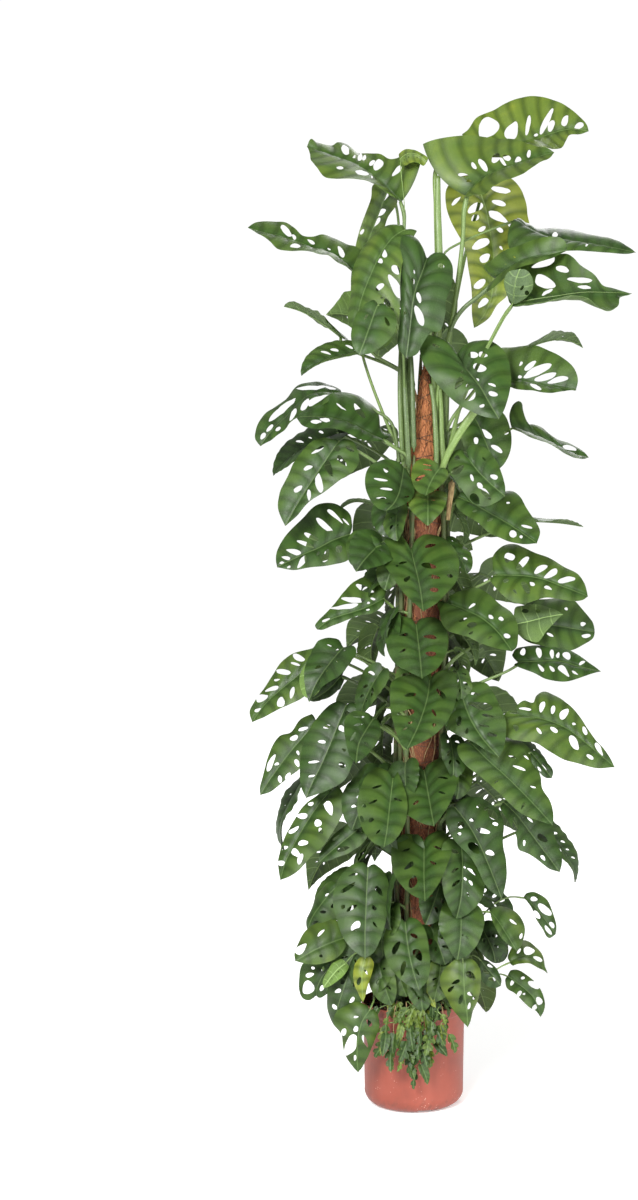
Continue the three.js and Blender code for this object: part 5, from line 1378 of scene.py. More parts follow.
frontSketches = [
    [0.24, -60, -1.6, 0, 0.2, [(404, 467), (402, 480), (399, 493), (394, 503), (386, 511)],
     [(398, 462), (386, 459), (374, 463), (367, 471), (365, 480), (367, 492), (372, 503), (379, 509)],
     [(409, 474), (413, 484), (414, 494), (408, 502), (399, 507)],
     [(386, 470, 6, 5, -20), (381, 480, 15, 2.6, -8), (386, 489, 14, 2.6, -5), (381, 498, 10, 2.2, 0),
      (388, 504, 6, 2, 0), (406, 497, 6, 2, 10)]],
    [0.46, -75, -1.9, 0, 0.3, [(440, 468), (434, 476), (429, 486), (426, 495)],
     [(436, 462), (429, 459), (421, 459), (414, 465), (411, 476), (414, 487), (420, 493)],
     [(445, 468), (448, 472), (446, 479), (440, 486), (432, 492)],
     [(427, 465, 9, 1.8, -8), (428, 470, 9, 1.8, -4), (420, 478, 12, 4, 35)]],
    [0.3, -70, -2.0, 0, 0.25, [(411, 549), (414, 562), (418, 578), (421, 594), (423, 611)],
     [(405, 540), (396, 533), (387, 538), (382, 550), (383, 562), (391, 575), (400, 588), (411, 600)],
     [(416, 541), (424, 535), (437, 535), (448, 542), (457, 555), (459, 568), (456, 581), (446, 594),
      (436, 604)],
     [(430, 546, 12, 3.6, 12), (429, 566, 15, 6, -8), (434, 577, 13, 4.4, -15), (434, 590, 10, 5, -10),
      (450, 576, 6, 4.6, 0), (403, 563, 9, 2.6, 8), (407, 579, 8, 5, 50), (397, 566, 3, 2.4, 0)]],
    [0.27, -60, -1.9, 0, 0.2, [(416, 624), (418, 640), (420, 657), (422, 678)],
     [(410, 618), (398, 617), (389, 623), (386, 636), (388, 652), (397, 665), (409, 672)],
     [(422, 618), (434, 617), (443, 624), (448, 637), (446, 654), (438, 668), (429, 674)],
     [(430, 637, 14, 4.4, -4), (431, 654, 12, 4.4, -5), (404, 635, 10, 3, 10), (403, 651, 9, 2.6, 30)]],
    [0.3, -75, -1.8, 0, 0.2, [(430, 678), (428, 695), (423, 713), (416, 731), (407, 749)],
     [(424, 674), (412, 674), (400, 677), (391, 684), (390, 698), (392, 718), (397, 735), (402, 745)],
     [(436, 673), (447, 670), (454, 675), (457, 688), (455, 704), (446, 723), (434, 735), (420, 743)],
     [(410, 695, 12, 4.6, 5), (406, 713, 17, 6, 12), (410, 723, 6, 2.6, 20), (405, 729, 7, 2, 30),
      (441, 694, 13, 5, -50), (434, 713, 9, 3, -60), (434, 725, 4, 4, 0)]],
    [0.28, -100, -1.6, 0.3, 0.2, [(373, 719), (366, 730), (359, 743), (356, 763)],
     [(366, 712), (356, 711), (347, 716), (344, 727), (346, 742), (350, 756)],
     [(378, 720), (381, 732), (377, 743), (369, 753), (361, 760)],
     [(359, 717, 11, 2.2, 0), (358, 725, 9, 2.6, 5), (353, 737, 11, 3.2, 60), (366, 744, 5, 2.4, -50)]],
    [0.36, -90, -1.4, 0, 0.25, [(393, 778), (391, 795), (389, 812), (387, 830), (384, 847)],
     [(388, 771), (376, 768), (366, 776), (360, 790), (357, 806), (360, 822), (366, 835), (375, 844)],
     [(398, 772), (403, 785), (407, 800), (407, 814), (403, 828), (394, 841)],
     [(377, 787, 10, 2.6, 12), (373, 802, 10, 2.6, 20), (364, 806, 5, 4, 0), (371, 820, 6, 4.6, 40),
      (362, 819, 7, 4, -70), (398, 800, 9, 2.6, -20), (378, 832, 6, 2.2, 40)]],
    [0.28, -60, -1.75, 0, 0.2, [(424, 770), (427, 787), (430, 804), (434, 826)],
     [(417, 765), (406, 769), (400, 780), (400, 795), (403, 810), (413, 819), (424, 824)],
     [(430, 763), (442, 758), (454, 758), (459, 766), (458, 781), (452, 799), (443, 814)],
     [(443, 778, 10, 2.4, -10), (442, 793, 8, 2.6, -20), (413, 786, 9, 2.4, 12), (416, 803, 7, 3, 30)]],
    [0.34, -70, -1.75, 0, 0.2, [(424, 840), (424, 858), (424, 878), (425, 901)],
     [(417, 835), (405, 834), (394, 841), (391, 855), (394, 874), (401, 885), (411, 894)],
     [(431, 834), (442, 831), (450, 838), (452, 850), (447, 866), (439, 883), (431, 895)],
     [(409, 866, 13, 4.4, 40), (413, 882, 14, 8, 60), (433, 863, 7, 3, -20), (406, 850, 10, 2.4, 15),
      (438, 848, 9, 2.4, -15)]],
]

rightLowSketches = [
    [0.3, -50, -0.9, 0.6, 0.15, [(468, 458), (478, 471), (490, 483), (505, 496)],
     [(466, 449), (474, 444), (486, 449), (496, 460), (501, 472), (505, 486)],
     [(463, 449), (455, 451), (449, 460), (449, 471), (455, 481), (463, 491), (473, 503), (485, 507),
      (497, 502)],
     [(457, 458, 6, 5, 20), (458, 470, 14, 8, 35), (480, 486, 9, 5, -60), (486, 494, 14, 6, -50),
      (475, 499, 14, 7.6, -48), (494, 477, 9, 5, -28), (472, 478, 8, 3.4, -70), (484, 459, 5, 2, -40)]],
    [0.36, -40, -0.45, 1.5, 0, [(459, 497), (474, 504), (490, 513), (509, 524), (524, 534), (537, 543)],
     [(463, 490), (474, 493), (484, 499), (494, 496), (504, 491), (512, 491), (520, 498), (526, 508),
      (535, 520), (540, 531)],
     [(455, 500), (457, 507), (465, 515), (478, 523), (490, 533), (500, 538), (509, 542), (526, 544)],
     [(527, 527, 12, 3, -10), (513, 534, 9, 7, -60), (508, 503, 4, 2.4, 0), (521, 537, 4, 3, 0),
      (490, 520, 7, 3, 20), (475, 511, 5, 2, 20)]],
    [0.42, -20, -0.4, 1.5, 0.05,
     [(495, 575), (509, 575), (527, 576), (543, 579), (562, 586), (588, 596)],
     [(493, 566), (493, 557), (498, 549), (506, 544), (515, 544), (523, 548), (536, 554), (550, 558),
      (563, 566), (577, 574), (584, 583)],
     [(490, 580), (494, 586), (502, 595), (512, 601), (524, 603), (535, 601), (546, 598), (560, 599),
      (574, 601), (583, 600)],
     [(509, 558, 12, 9, 60), (523, 563, 19, 6, 50), (541, 569, 16, 6, 25), (551, 574, 17, 6, 30),
      (566, 580, 18, 6, 15), (506, 581, 5.6, 5, 0), (526, 588, 13, 6.6, -62), (532, 584, 7, 4, -25),
      (548, 588, 8, 4, -25), (515, 592, 6, 3, -50)]],
    [0.36, -60, -0.6, 1.3, 0.1, [(452, 604), (466, 610), (482, 618), (498, 632), (512, 651)],
     [(449, 596), (460, 591), (474, 588), (486, 593), (499, 603), (511, 612), (517, 624), (518, 638),
      (516, 648)],
     [(444, 603), (440, 611), (442, 622), (448, 631), (458, 635), (468, 637), (479, 642), (491, 647),
      (502, 650)],
     [(472, 606, 8, 3, 35), (463, 620, 9, 3.8, 20), (472, 625, 10, 5.6, 5), (471, 633, 5, 2.8, 30),
      (491, 617, 6, 4, -30), (501, 619, 6, 4, -30), (507, 636, 8, 4.4, -15), (490, 638, 5, 3, 30)]],
    [0.33, 10, 0.4, 1.5, 0, [(519, 622), (540, 624), (558, 626), (577, 629), (595, 632)],
     [(520, 609), (530, 602), (544, 599), (559, 598), (573, 601), (583, 610), (592, 621)],
     [(518, 634), (527, 641), (541, 646), (559, 650), (572, 650), (585, 644), (593, 638)],
     [(583, 624, 6, 4, 15), (586, 636, 10, 4, 10), (566, 609, 4, 3, 0), (550, 635, 8, 3, -30)]],
    [-0.3, -16, 0.2, 1.2, 0.1, [(516, 624), (530, 621), (546, 617), (563, 614)],
     [(514, 614), (516, 607), (525, 605), (540, 605), (553, 609)],
     [(518, 634), (527, 640), (537, 642), (546, 632), (554, 623)],
     [(525, 611, 7, 5, 0), (538, 611, 6, 4, -20)]],
    [0.27, -30, -0.35, 1.8, 0, [(518, 662), (539, 661), (560, 661), (578, 666), (601, 671)],
     [(512, 655), (517, 648), (532, 646), (552, 647), (569, 650), (582, 658), (592, 665)],
     [(514, 665), (520, 668), (535, 673), (548, 680), (562, 682), (575, 679), (588, 675)],
     [(523, 652, 9, 5, 80), (539, 653, 12, 5.4, -80), (552, 654, 10, 4.4, 88), (558, 655, 7, 3.4, 80),
      (567, 656, 9, 7.6, -60), (582, 663, 7, 3.4, 30), (541, 668, 9, 4, -50), (552, 669, 8, 3.4, -50),
      (564, 671, 14, 6.4, -48), (575, 673, 8, 2.4, -30)]],
    [0.3, -30, -0.85, 0.7, 0.1, [(460, 687), (464, 702), (471, 720), (483, 739), (499, 757)],
     [(466, 683), (478, 682), (486, 684), (494, 694), (500, 706), (505, 719), (506, 733), (504, 747)],
     [(456, 690), (452, 702), (447, 716), (446, 727), (458, 735), (473, 742), (487, 751)],
     [(481, 706, 25, 7.4, -8), (488, 716, 12, 3, -8), (459, 721, 11, 5, 80), (467, 731, 7, 3, 70),
      (492, 735, 11, 4.4, -12), (484, 726, 11, 2.4, -8), (474, 694, 14, 2.4, -4)]],
    [0.44, -10, -0.25, 1.5, 0, [(519, 715), (534, 717), (550, 721), (568, 729), (590, 746), (615, 767)],
     [(516, 706), (524, 701), (533, 703), (537, 695), (545, 691), (556, 696), (567, 704), (578, 715),
      (586, 726), (595, 739), (606, 752)],
     [(510, 710), (503, 716), (503, 729), (508, 739), (522, 741), (536, 742), (549, 751), (563, 760),
      (580, 764), (598, 768)],
     [(542, 707, 11, 5.4, 78), (553, 710, 9, 4.6, 72), (564, 714, 13, 7.6, 62), (574, 724, 4, 3, 0),
      (585, 731, 9, 5, -65), (599, 749, 14, 4.6, -60), (525, 709, 13, 3, -3), (554, 730, 9, 5, -30),
      (574, 743, 16, 8, -68), (590, 757, 9, 4, -40), (516, 728, 8, 5, -75), (539, 731, 9, 3, -50)]],
    [0.38, -50, -0.35, 1.5, 0.1, [(470, 742), (488, 760), (508, 778), (530, 800), (553, 825)],
     [(474, 735), (488, 733), (504, 737), (520, 742), (530, 751), (536, 762), (541, 777), (542, 789),
      (549, 800), (553, 812)],
     [(463, 742), (457, 748), (459, 757), (467, 766), (479, 775), (492, 787), (508, 802), (523, 814),
      (539, 821)],
     [(526, 757, 8, 2.4, -50), (519, 768, 13, 3.2, -20), (512, 757, 8, 2.4, -14), (533, 787, 6, 2, -20),
      (523, 806, 8, 2.6, 60), (496, 782, 5, 2, 40)]],
    [0.2, -20, -0.2, 1.2, 0, [(531, 752), (541, 764), (552, 778)], [(536, 751), (545, 760), (553, 771)],
     [(531, 762), (539, 772), (546, 778)], [(545, 767, 9, 3.6, -52), (539, 769, 6, 3, -50)]],
    [0.27, -20, -0.2, 1.5, 0, [(504, 802), (517, 815), (530, 832), (545, 852), (560, 872)],
     [(509, 799), (523, 806), (540, 817), (553, 827), (554, 836), (559, 846), (562, 858)],
     [(500, 808), (508, 821), (516, 836), (519, 849), (527, 853), (536, 859), (550, 869)],
     [(515, 825, 14, 6, -80), (542, 838, 12, 6.6, -45), (524, 843, 6, 3, 80), (543, 858, 7, 3.4, -50),
      (530, 820, 8, 2.4, -40)]],
    [0.23, -60, -0.5, 1.2, 0.1, [(455, 807), (468, 824), (480, 845), (490, 868), (502, 899)],
     [(460, 800), (470, 797), (480, 797), (490, 803), (498, 811), (503, 824), (503, 842), (506, 860),
      (506, 880)],
     [(448, 808), (445, 818), (449, 832), (459, 845), (470, 857), (478, 870), (485, 884), (493, 893)],
     [(493, 815, 14, 8, -35), (495, 824, 6, 4, -20), (479, 806, 6, 3, 30), (486, 809, 6, 3, 30),
      (483, 831, 13, 5.6, -12), (472, 820, 6, 3, 0), (461, 825, 8, 6.6, 30), (459, 834, 5, 3, 20),
      (474, 848, 14, 9, -50), (490, 853, 9, 6, -15)]],
]

leftLowSketches = [
    [0.28, -30, -0.45, 1.2, 0.05,
     [(350, 534), (333, 540), (318, 548), (306, 553), (293, 559), (277, 567)],
     [(352, 524), (350, 515), (344, 508), (334, 503), (319, 505), (302, 519), (290, 530), (283, 540),
      (277, 552), (276, 560)],
     [(353, 544), (352, 556), (346, 562), (335, 564), (322, 566), (308, 568), (296, 570), (286, 569)],
     [(325, 526, 22, 6, -37), (335, 516, 19, 4.4, -43), (346, 522, 10, 2, -50), (311, 537, 15, 5.4, -28),
      (305, 544, 20, 4, -22), (294, 552, 17, 5, -14), (286, 558, 9, 4, -15), (282, 563, 5, 3, 10),
      (289, 567, 4, 2.4, 40), (302, 562, 14, 6, 55), (326, 556, 13, 6.6, 75), (339, 549, 9, 6.6, 80),
      (318, 554, 5, 2.6, 60)]],
    [0.3, -55, -1.0, 0.7, 0, [(381, 545), (372, 549), (364, 557), (357, 569)],
     [(376, 537), (366, 531), (358, 530), (350, 535), (346, 544), (347, 555), (350, 563)],
     [(385, 553), (383, 564), (376, 567), (366, 569)],
     [(361, 547, 10, 4, 45), (373, 560, 13, 6.4, -50), (377, 553, 6, 3, -30), (364, 564, 3, 2.6, 0),
      (352, 552, 6, 2.4, 40)]],
    [0.38, -50, -0.4, 1.3, 0, [(384, 598), (371, 605), (356, 611), (342, 615), (329, 620), (317, 629)],
     [(386, 590), (381, 584), (373, 579), (364, 577), (354, 581), (345, 591), (338, 600), (329, 610),
      (319, 620), (315, 626)],
     [(384, 604), (378, 610), (369, 614), (358, 616), (347, 620), (332, 626), (322, 630)],
     [(353, 600, 24, 5.4, -8), (344, 607, 28, 5, 6), (365, 589, 20, 5.4, -20), (326, 620, 9, 2.8, 25),
      (373, 599, 5, 2.8, -10), (368, 603, 4, 2.4, 0), (368, 610, 4, 2, 0)]],
    [0.42, -10, -0.25, 1.5, 0, [(326, 654), (311, 665), (296, 677), (280, 690), (265, 704), (252, 722)],
     [(332, 648), (341, 646), (339, 640), (332, 638), (322, 641), (313, 648), (303, 651), (292, 655),
      (281, 663), (273, 674), (265, 687), (256, 700), (250, 711)],
     [(328, 664), (324, 676), (316, 688), (303, 697), (290, 704), (278, 710), (264, 717)],
     [(299, 658, 13, 6.6, -20), (295, 664, 11, 2.6, -15), (283, 672, 16, 5.4, -5), (277, 680, 7, 2.4, 10),
      (272, 689, 14, 4.6, 20), (262, 698, 14, 6.6, 22), (258, 710, 7, 3.8, 20), (328, 646, 10, 3.2, 15),
      (322, 652, 7, 3.4, 20), (292, 693, 12, 4.8, 75), (281, 702, 12, 7, 80), (306, 688, 8, 3, 60)]],
    [-0.5, -30, -0.6, 0.5, 0.1, [(341, 650), (329, 662), (319, 676), (310, 699)],
     [(332, 652), (316, 659), (305, 665), (300, 675), (300, 686), (304, 696)],
     [(344, 655), (339, 664), (331, 674), (323, 683), (318, 693)],
     [(334, 664, 8, 5, 60), (311, 678, 12, 2.2, 55), (326, 677, 4, 3, 60)]],
    [0.14, -5, -0.2, 0.8, 0, [(341, 676), (332, 686), (322, 694), (311, 700)],
     [(336, 673), (329, 676), (323, 683), (316, 692)], [(343, 683), (338, 690), (330, 697), (320, 700)],
     [(327, 682, 8, 4, -75)]],
    [0.38, 25, -0.3, 1.1, 0, [(316, 722), (303, 737), (290, 752), (278, 768), (268, 782), (260, 795)],
     [(312, 714), (300, 720), (291, 732), (280, 736), (273, 746), (267, 760), (263, 776), (260, 788)],
     [(320, 724), (316, 742), (308, 757), (299, 769), (290, 776), (281, 784), (270, 792)],
     [(303, 729, 10, 4, 15), (294, 738, 9, 6, 20), (271, 763, 17, 6, 66), (277, 764, 5, 3, 25),
      (280, 779, 8, 4.6, -85), (288, 776, 8, 4.6, 60), (297, 763, 9, 4.4, -70), (298, 753, 5, 3, -60)]],
    [0.24, -25, -0.5, 0.7, 0.15,
     [(346, 705), (339, 722), (331, 742), (321, 765), (312, 783), (306, 798)],
     [(338, 701), (328, 706), (318, 717), (308, 733), (301, 751), (300, 768), (301, 786)],
     [(352, 702), (360, 708), (362, 722), (357, 745), (352, 765), (345, 780), (330, 789), (315, 795)],
     [(327, 727, 7, 4.4, 10), (342, 729, 9, 6, -30), (322, 742, 9, 3.4, 0), (347, 713, 6, 4, -20),
      (344, 750, 5, 3, -30), (314, 762, 11, 2.8, 4), (342, 765, 8, 5.6, -50), (312, 776, 7, 2.4, 10)]],
    [0.4, -20, -0.3, 1.3, 0,
     [(332, 790), (322, 800), (312, 814), (302, 830), (293, 846), (285, 863), (280, 880)],
     [(326, 789), (315, 797), (304, 806), (296, 817), (287, 833), (282, 846), (278, 862), (279, 872)],
     [(338, 786), (343, 793), (344, 808), (339, 820), (332, 834), (324, 846), (312, 855), (305, 863),
      (298, 871), (289, 877)],
     [(329, 808, 17, 7, -68), (318, 823, 9, 7, -70), (321, 831, 7, 4.4, -55), (300, 859, 11, 6, 75),
      (296, 853, 12, 7, -35), (303, 843, 10, 6, 10), (311, 804, 6, 3.8, 15), (302, 816, 11, 6, -3),
      (294, 830, 12, 5, 38), (281, 863, 8, 6, 0), (285, 848, 7, 4, 20)]],
    [0.34, -30, -0.3, 1.2, 0, [(366, 822), (352, 834), (336, 847), (319, 862)],
     [(362, 815), (350, 822), (336, 833), (326, 844), (320, 853)],
     [(370, 830), (363, 843), (351, 852), (338, 857), (328, 861)],
     [(343, 849, 14, 4.2, 14), (336, 838, 9, 3, 40)]],
]

climbers = {
    "stem_right_tall": {
        "angle": -8, "top": 1300, "drawn": crownRight, "sketched": rightTallSketches,
        "sheaths": [
            [0.2, 4.4, 3.0, 1.2, (437, 475, -36), (436, 440, -38), (434, 405, -36), (431, 384, -34)],
            [0.42, 4.0, 2.4, 1.3, (444, 470, -30), (442, 436, -34), (441, 404, -36), (440, 388, -38)],
            [0.5, 4.0, 5.0, 1.4, (440, 476, -40), (447, 456, -50), (459, 434, -58), (469, 419, -62),
             (476, 409, -64)],
            [0.15, 4.0, 3.0, 1.2, (446, 440, -14), (445, 400, -16), (446, 360, -20), (447, 338, -20)],
            [0.35, 6.0, 3.4, 1.2, (440, 285, -18), (439, 245, -16), (438, 208, -14), (438, 176, -12)],
        ],
        "leaves": [
            [0.25, 205, 1362, 50, 297, 1376, 110, 80, 94, 5, 0.05, 0],
            [0.3, 160, 1052, 20, 302, 1044, 60, 90, 90, 4, 0.02, 0],
        ],
    },
    "stem_left_tall": {
        "angle": 188, "top": 1290, "drawn": crownLeft,
        "sheaths": [
            [0.05, 4.4, 3.4, 1.2, (409, 470, -34), (407, 430, -38), (405, 390, -38), (404, 352, -34)],
            [0.2, 4.2, 3.0, 1.2, (403, 462, -26), (401, 424, -30), (400, 384, -30), (401, 346, -26)],
            [0.0, 4.0, 2.6, 1.2, (414, 452, -40), (413, 412, -42), (412, 372, -40), (410, 340, -36)],
            [-0.7, 4.0, 2.2, 1.5, (452, 480, -40), (451, 494, -46), (449, 508, -48), (448, 520, -46)],
        ],
        "leaves": [
            [0.3, -128, 1378, 50, -228, 1438, 80, 70, 94, 5, 0.04, 0],
            [0.42, -90, 1410, 20, -150, 1422, 90, 90, 135, 8, 0.05, 1],
            [0.34, -75, 1355, -20, -203, 1323, -50, 95, 63, 16, 0.02, 2],
            [0.22, -125, 1208, 30, -253, 1136, 60, 105, 62, 8, 0.08, 1],
            [0.26, -53, 1070, 10, -132, 1082, 30, 60, 92, 5, 0.12, 0],
        ],
    },
    "stem_front": {
        "angle": -122, "top": 1150, "sketched": frontSketches,
        "leaves": [
            [0.45, 25, 1100, -60, 25, 1052, -130, 72, 0, 6, 0.05, 0],
            [0.2, -55, 1015, -40, -102, 966, -100, 85, 20, 8, 0.05, 1],
        ],
    },
    "stem_right_low": {
        "angle": -32, "top": 1160, "sketched": rightLowSketches,
        "leaves": [
            [0.28, 180, 660, 50, 248, 600, 70, 50, 70, 6, 0.06, 0],
            [0.3, 215, 510, 30, 297, 415, 40, 80, 65, 8, 0.08, 1],
        ],
    },
    "stem_left_low": {
        "angle": 214, "top": 1090, "sketched": leftLowSketches,
        "leaves": [
            [0.2, -125, 827, -50, -190, 734, -100, 90, 36, 8, 0.06, 1],
            [0.25, -52, 600, -30, -112, 505, -65, 90, 36, 10, 0.06, 1],
            [0.24, -195, 590, 60, -246, 470, 80, 90, 78, 6, 0.06, 0],
            [0.3, -128, 777, 30, -185, 734, 50, 80, 60, 6, 0.06, 0],
        ],
    },
    "stem_back_left": {
        "angle": 116, "top": 1330,
        "leaves": [
            [0.25, -40, 1440, 70, -66, 1336, 160, 100, 176, 8, 0.06, 1],
            [0.2, -60, 1220, 60, -150, 1130, 140, 115, 150, 8, 0.06, 1],
            [0.22, -40, 1070, 80, -80, 960, 180, 115, 172, 8, 0.06, 1],
            [0.25, -113, 1010, 40, -190, 990, 110, 90, 130, 6, 0.05, 1],
            [0.28, -45, 875, 60, -120, 829, 120, 90, 132, 8, 0.06, 1],
            [0.24, -60, 760, 70, -130, 700, 160, 95, 145, 8, 0.06, 1],
            [0.2, -80, 650, 60, -160, 560, 150, 110, 155, 8, 0.06, 1],
            [0.22, -50, 560, 80, -70, 450, 190, 110, 172, 8, 0.06, 1],
            [0.25, -110, 500, 50, -190, 410, 110, 100, 150, 8, 0.06, 1],
        ],
    },
    "stem_back_right": {
        "angle": 66, "top": 1400,
        "leaves": [
            [0.3, 42, 1480, 70, 56, 1360, 165, 66, 176, 10, 0.06, 1],
            [0.25, 48, 1382, 110, 74, 1284, 190, 84, 168, 8, 0.06, 1],
            [0.22, 40, 1200, 70, 60, 1090, 190, 125, 178, 8, 0.06, 1],
            [0.28, 60, 1090, 60, 150, 1030, 150, 110, 150, 8, 0.06, 1],
            [0.3, 60, 985, 30, 100, 1005, 70, 70, 120, 6, 0.05, 0],
            [0.3, 70, 795, 40, 125, 810, 90, 75, 118, 6, 0.04, 0],
            [0.22, 30, 970, 80, 30, 860, 200, 115, 180, 8, 0.06, 1],
            [0.26, 115, 960, 50, 210, 900, 130, 110, 145, 8, 0.06, 1],
            [0.24, 80, 860, 60, 150, 780, 150, 110, 155, 8, 0.06, 1],
            [0.2, 20, 790, 80, 15, 680, 200, 115, 180, 8, 0.06, 1],
            [0.24, 100, 730, 60, 190, 650, 150, 110, 150, 8, 0.06, 1],
            [0.22, 40, 640, 80, 60, 530, 190, 115, 176, 8, 0.06, 1],
            [0.26, 110, 590, 60, 190, 500, 130, 105, 150, 8, 0.06, 1],
            [0.24, 30, 470, 80, 30, 360, 180, 110, 180, 8, 0.06, 1],
        ],
    },
}

# A shoot's sketched leaves and rows begin with the share of its length where the stalk starts
shoots = {
    "shoot_left": {
        "radius": 3, "drawn": bushLeft,
        "route": [[-58, -22, 113], [-58, -22, 150], [-58, -22, 186], [-66, -26, 260], [-72, -32, 340],
                  [-74, -38, 410]],
        "sketched": [
            [1, [0.28, -70, -0.9, 0, 0.2, [(368, 867), (367, 885), (366, 908), (365, 932), (365, 958)],
                 [(362, 862), (352, 865), (341, 875), (335, 888), (333, 904), (337, 920), (342, 935),
                  (350, 947), (358, 954)],
                 [(375, 864), (384, 872), (389, 886), (389, 902), (386, 920), (380, 940), (373, 953)],
                 [(348, 888, 17, 5, 35), (343, 907, 4.4, 5, 0), (352, 908, 14, 3.4, 30),
                  (356, 926, 12, 8, 60), (379, 891, 12, 5, -58), (374, 908, 7, 4, -60),
                  (353, 875, 10, 3, 15), (375, 925, 8, 2.4, -50)]]],
        ],
        "leaves": [
            [0.7, [0.3, -105, 415, -10, -172, 350, -20, 74, 46, 8, 0.06, 1]],
            [0.9, [0.26, -118, 372, -20, -188, 322, -10, 70, 66, 8, 0.06, 3]],
            [0.6, [0.34, -98, 300, -60, -128, 222, -80, 66, 26, 8, 0.06, 1]],
            [0.5, [0.4, -62, 262, -80, -40, 190, -105, 52, 12, 8, 0.06, 2]],
        ],
    },
    "shoot_right": {
        "radius": 3, "drawn": bushRight,
        "route": [[56, -26, 113], [56, -26, 150], [56, -26, 186], [62, -32, 270], [68, -36, 350],
                  [72, -40, 430]],
        "leaves": [
            [1, [0.28, 85, 470, -60, 80, 345, -110, 90, 28, 8, 0.06, 2]],
            [0.9, [0.32, 84, 366, -80, 81, 275, -130, 76, 12, 8, 0.06, 1]],
            [0.7, [0.22, 120, 330, -20, 148, 268, -40, 62, 30, 8, 0.06, 3]],
            [0.6, [0.5, 48, 262, -82, 36, 196, -108, 50, 10, 10, 0.06, 1]],
            [0.8, [0.24, 112, 388, -10, 178, 350, 10, 66, 62, 8, 0.06, 2]],
        ],
    },
    "shoot_front": {
        "radius": 3,
        "route": [[4, -66, 113], [4, -66, 150], [4, -66, 186], [0, -64, 240], [-6, -66, 300]],
        "sketched": [
            [1, [0.33, -90, -1.1, 0, 0.2, [(405, 922), (407, 940), (410, 958), (414, 974), (419, 990)],
                 [(399, 917), (391, 920), (385, 932), (384, 948), (388, 964), (398, 977), (409, 986)],
                 [(411, 917), (419, 921), (426, 933), (429, 950), (430, 968), (427, 981)],
                 [(396, 948, 14, 6, 60), (403, 969, 15, 5, 82), (418, 955, 15, 7, -60),
                  (414, 936, 9, 4, -20), (393, 933, 9, 5, 50), (417, 972, 8, 3, -60)]]],
        ],
        "leaves": [
            [0.6, [0.5, -30, 262, -80, -14, 205, -100, 44, 20, 14, 0.04, 0]],
            [0.6, [0.42, -45, 266, -75, -72, 212, -100, 48, 30, 8, 0.04, 0]],
            [0.5, [0.4, 30, 262, -75, 45, 205, -100, 46, 20, 12, 0.06, 1]],
            [0.8, [0.3, 30, 330, -60, 56, 262, -90, 64, 20, 8, 0.06, 2]],
            [0.4, [0.36, 6, 240, -88, 16, 178, -112, 46, 14, 10, 0.06, 1]],
            [0.9, [0.24, -40, 330, -50, -60, 258, -84, 66, 20, 8, 0.06, 2]],
        ],
    },
    "shoot_back": {
        "radius": 3,
        "route": [[-14, 62, 113], [-14, 62, 150], [-14, 62, 186], [-10, 66, 260], [-6, 70, 340]],
        "leaves": [
            [1, [0.26, -30, 370, 90, -50, 270, 170, 95, 172, 8, 0.06, 2]],
            [0.9, [0.28, 60, 350, 80, 100, 260, 150, 95, 160, 8, 0.06, 2]],
            [0.7, [0.3, -110, 300, 60, -150, 230, 110, 80, 150, 8, 0.06, 1]],
            [0.6, [0.28, 20, 270, 110, 20, 190, 160, 80, 178, 8, 0.06, 1]],
            [0.5, [0.32, 100, 250, 50, 130, 180, 90, 70, 150, 8, 0.06, 0]],
        ],
    },
    "spray_left": {
        "radius": 2,
        "route": [[-24, -70, 113], [-24, -70, 160], [-24, -71, 182], [-27, -86, 196], [-30, -101, 186]],
        "runners": [
            [[-24, -70, 150], [-24, -73, 184], [-29, -88, 199], [-33, -103, 182], [-35, -108, 140],
             [-33, -103, 104]],
            [[-30, -68, 150], [-32, -72, 186], [-40, -84, 198], [-46, -98, 182], [-47, -103, 146],
             [-44, -98, 122]],
            [[-14, -72, 150], [-13, -76, 184], [-13, -90, 198], [-12, -106, 182], [-13, -110, 140],
             [-16, -105, 92]],
            [[-4, -72, 150], [-4, -76, 186], [-3, -92, 200], [-2, -107, 184], [-2, -111, 146],
             [-4, -106, 112]],
        ],
    },
    "spray_right": {
        "radius": 2,
        "route": [[30, -70, 113], [30, -70, 160], [30, -71, 182], [30, -86, 196], [29, -101, 186]],
        "runners": [
            [[30, -70, 150], [30, -73, 184], [32, -88, 199], [34, -103, 182], [33, -108, 140],
             [30, -103, 112]],
            [[38, -66, 150], [40, -70, 186], [45, -82, 198], [50, -97, 182], [51, -101, 150],
             [48, -97, 134]],
            [[20, -72, 150], [20, -76, 184], [19, -91, 199], [17, -106, 182], [15, -110, 140],
             [12, -105, 96]],
            [[8, -72, 150], [8, -76, 186], [8, -92, 200], [9, -107, 184], [8, -111, 146], [5, -106, 84]],
        ],
    },
}

for name, stem in climbers.items():
    piece = name.replace("stem_", "leaves_")
    made = makePiece(piece, leafyClimber(name, stem), greenery, "foliage", name)
    print(piece, len(made.data.polygons), "triangles")
for name, plant in shoots.items():
    piece = name + "_leaves"
    made = makePiece(piece, leafyShoot(name, plant), greenery, "young_foliage", name)
    print(piece, len(made.data.polygons), "triangles")


# Turned shapes: rings of points round an upright axis, with anything that shifts them
def turnedRings(profile, sides, shift=None):
    turn = np.linspace(0, 2 * math.pi, sides, endpoint=False)
    radius, z = np.array(profile, dtype=float).T
    radius = np.repeat(radius[:, None], sides, axis=1)
    z = np.repeat(z[:, None], sides, axis=1)
    turns = np.broadcast_to(turn, radius.shape)
    if shift:
        radius, z = shift(radius, z, turns)
    return np.stack([radius * np.cos(turns), radius * np.sin(turns), z], axis=2)


# Uneven ground from a few waves
def waves(x, y, z, seed, size):
    total = 0
    draw = np.random.default_rng(seed)
    for _ in range(7):
        direction = draw.normal(size=3)
        across = x * direction[0] + y * direction[1] + z * direction[2]
        total = total + np.sin(across / size + draw.random() * 6.3)
        size *= 0.8
    return total / 7


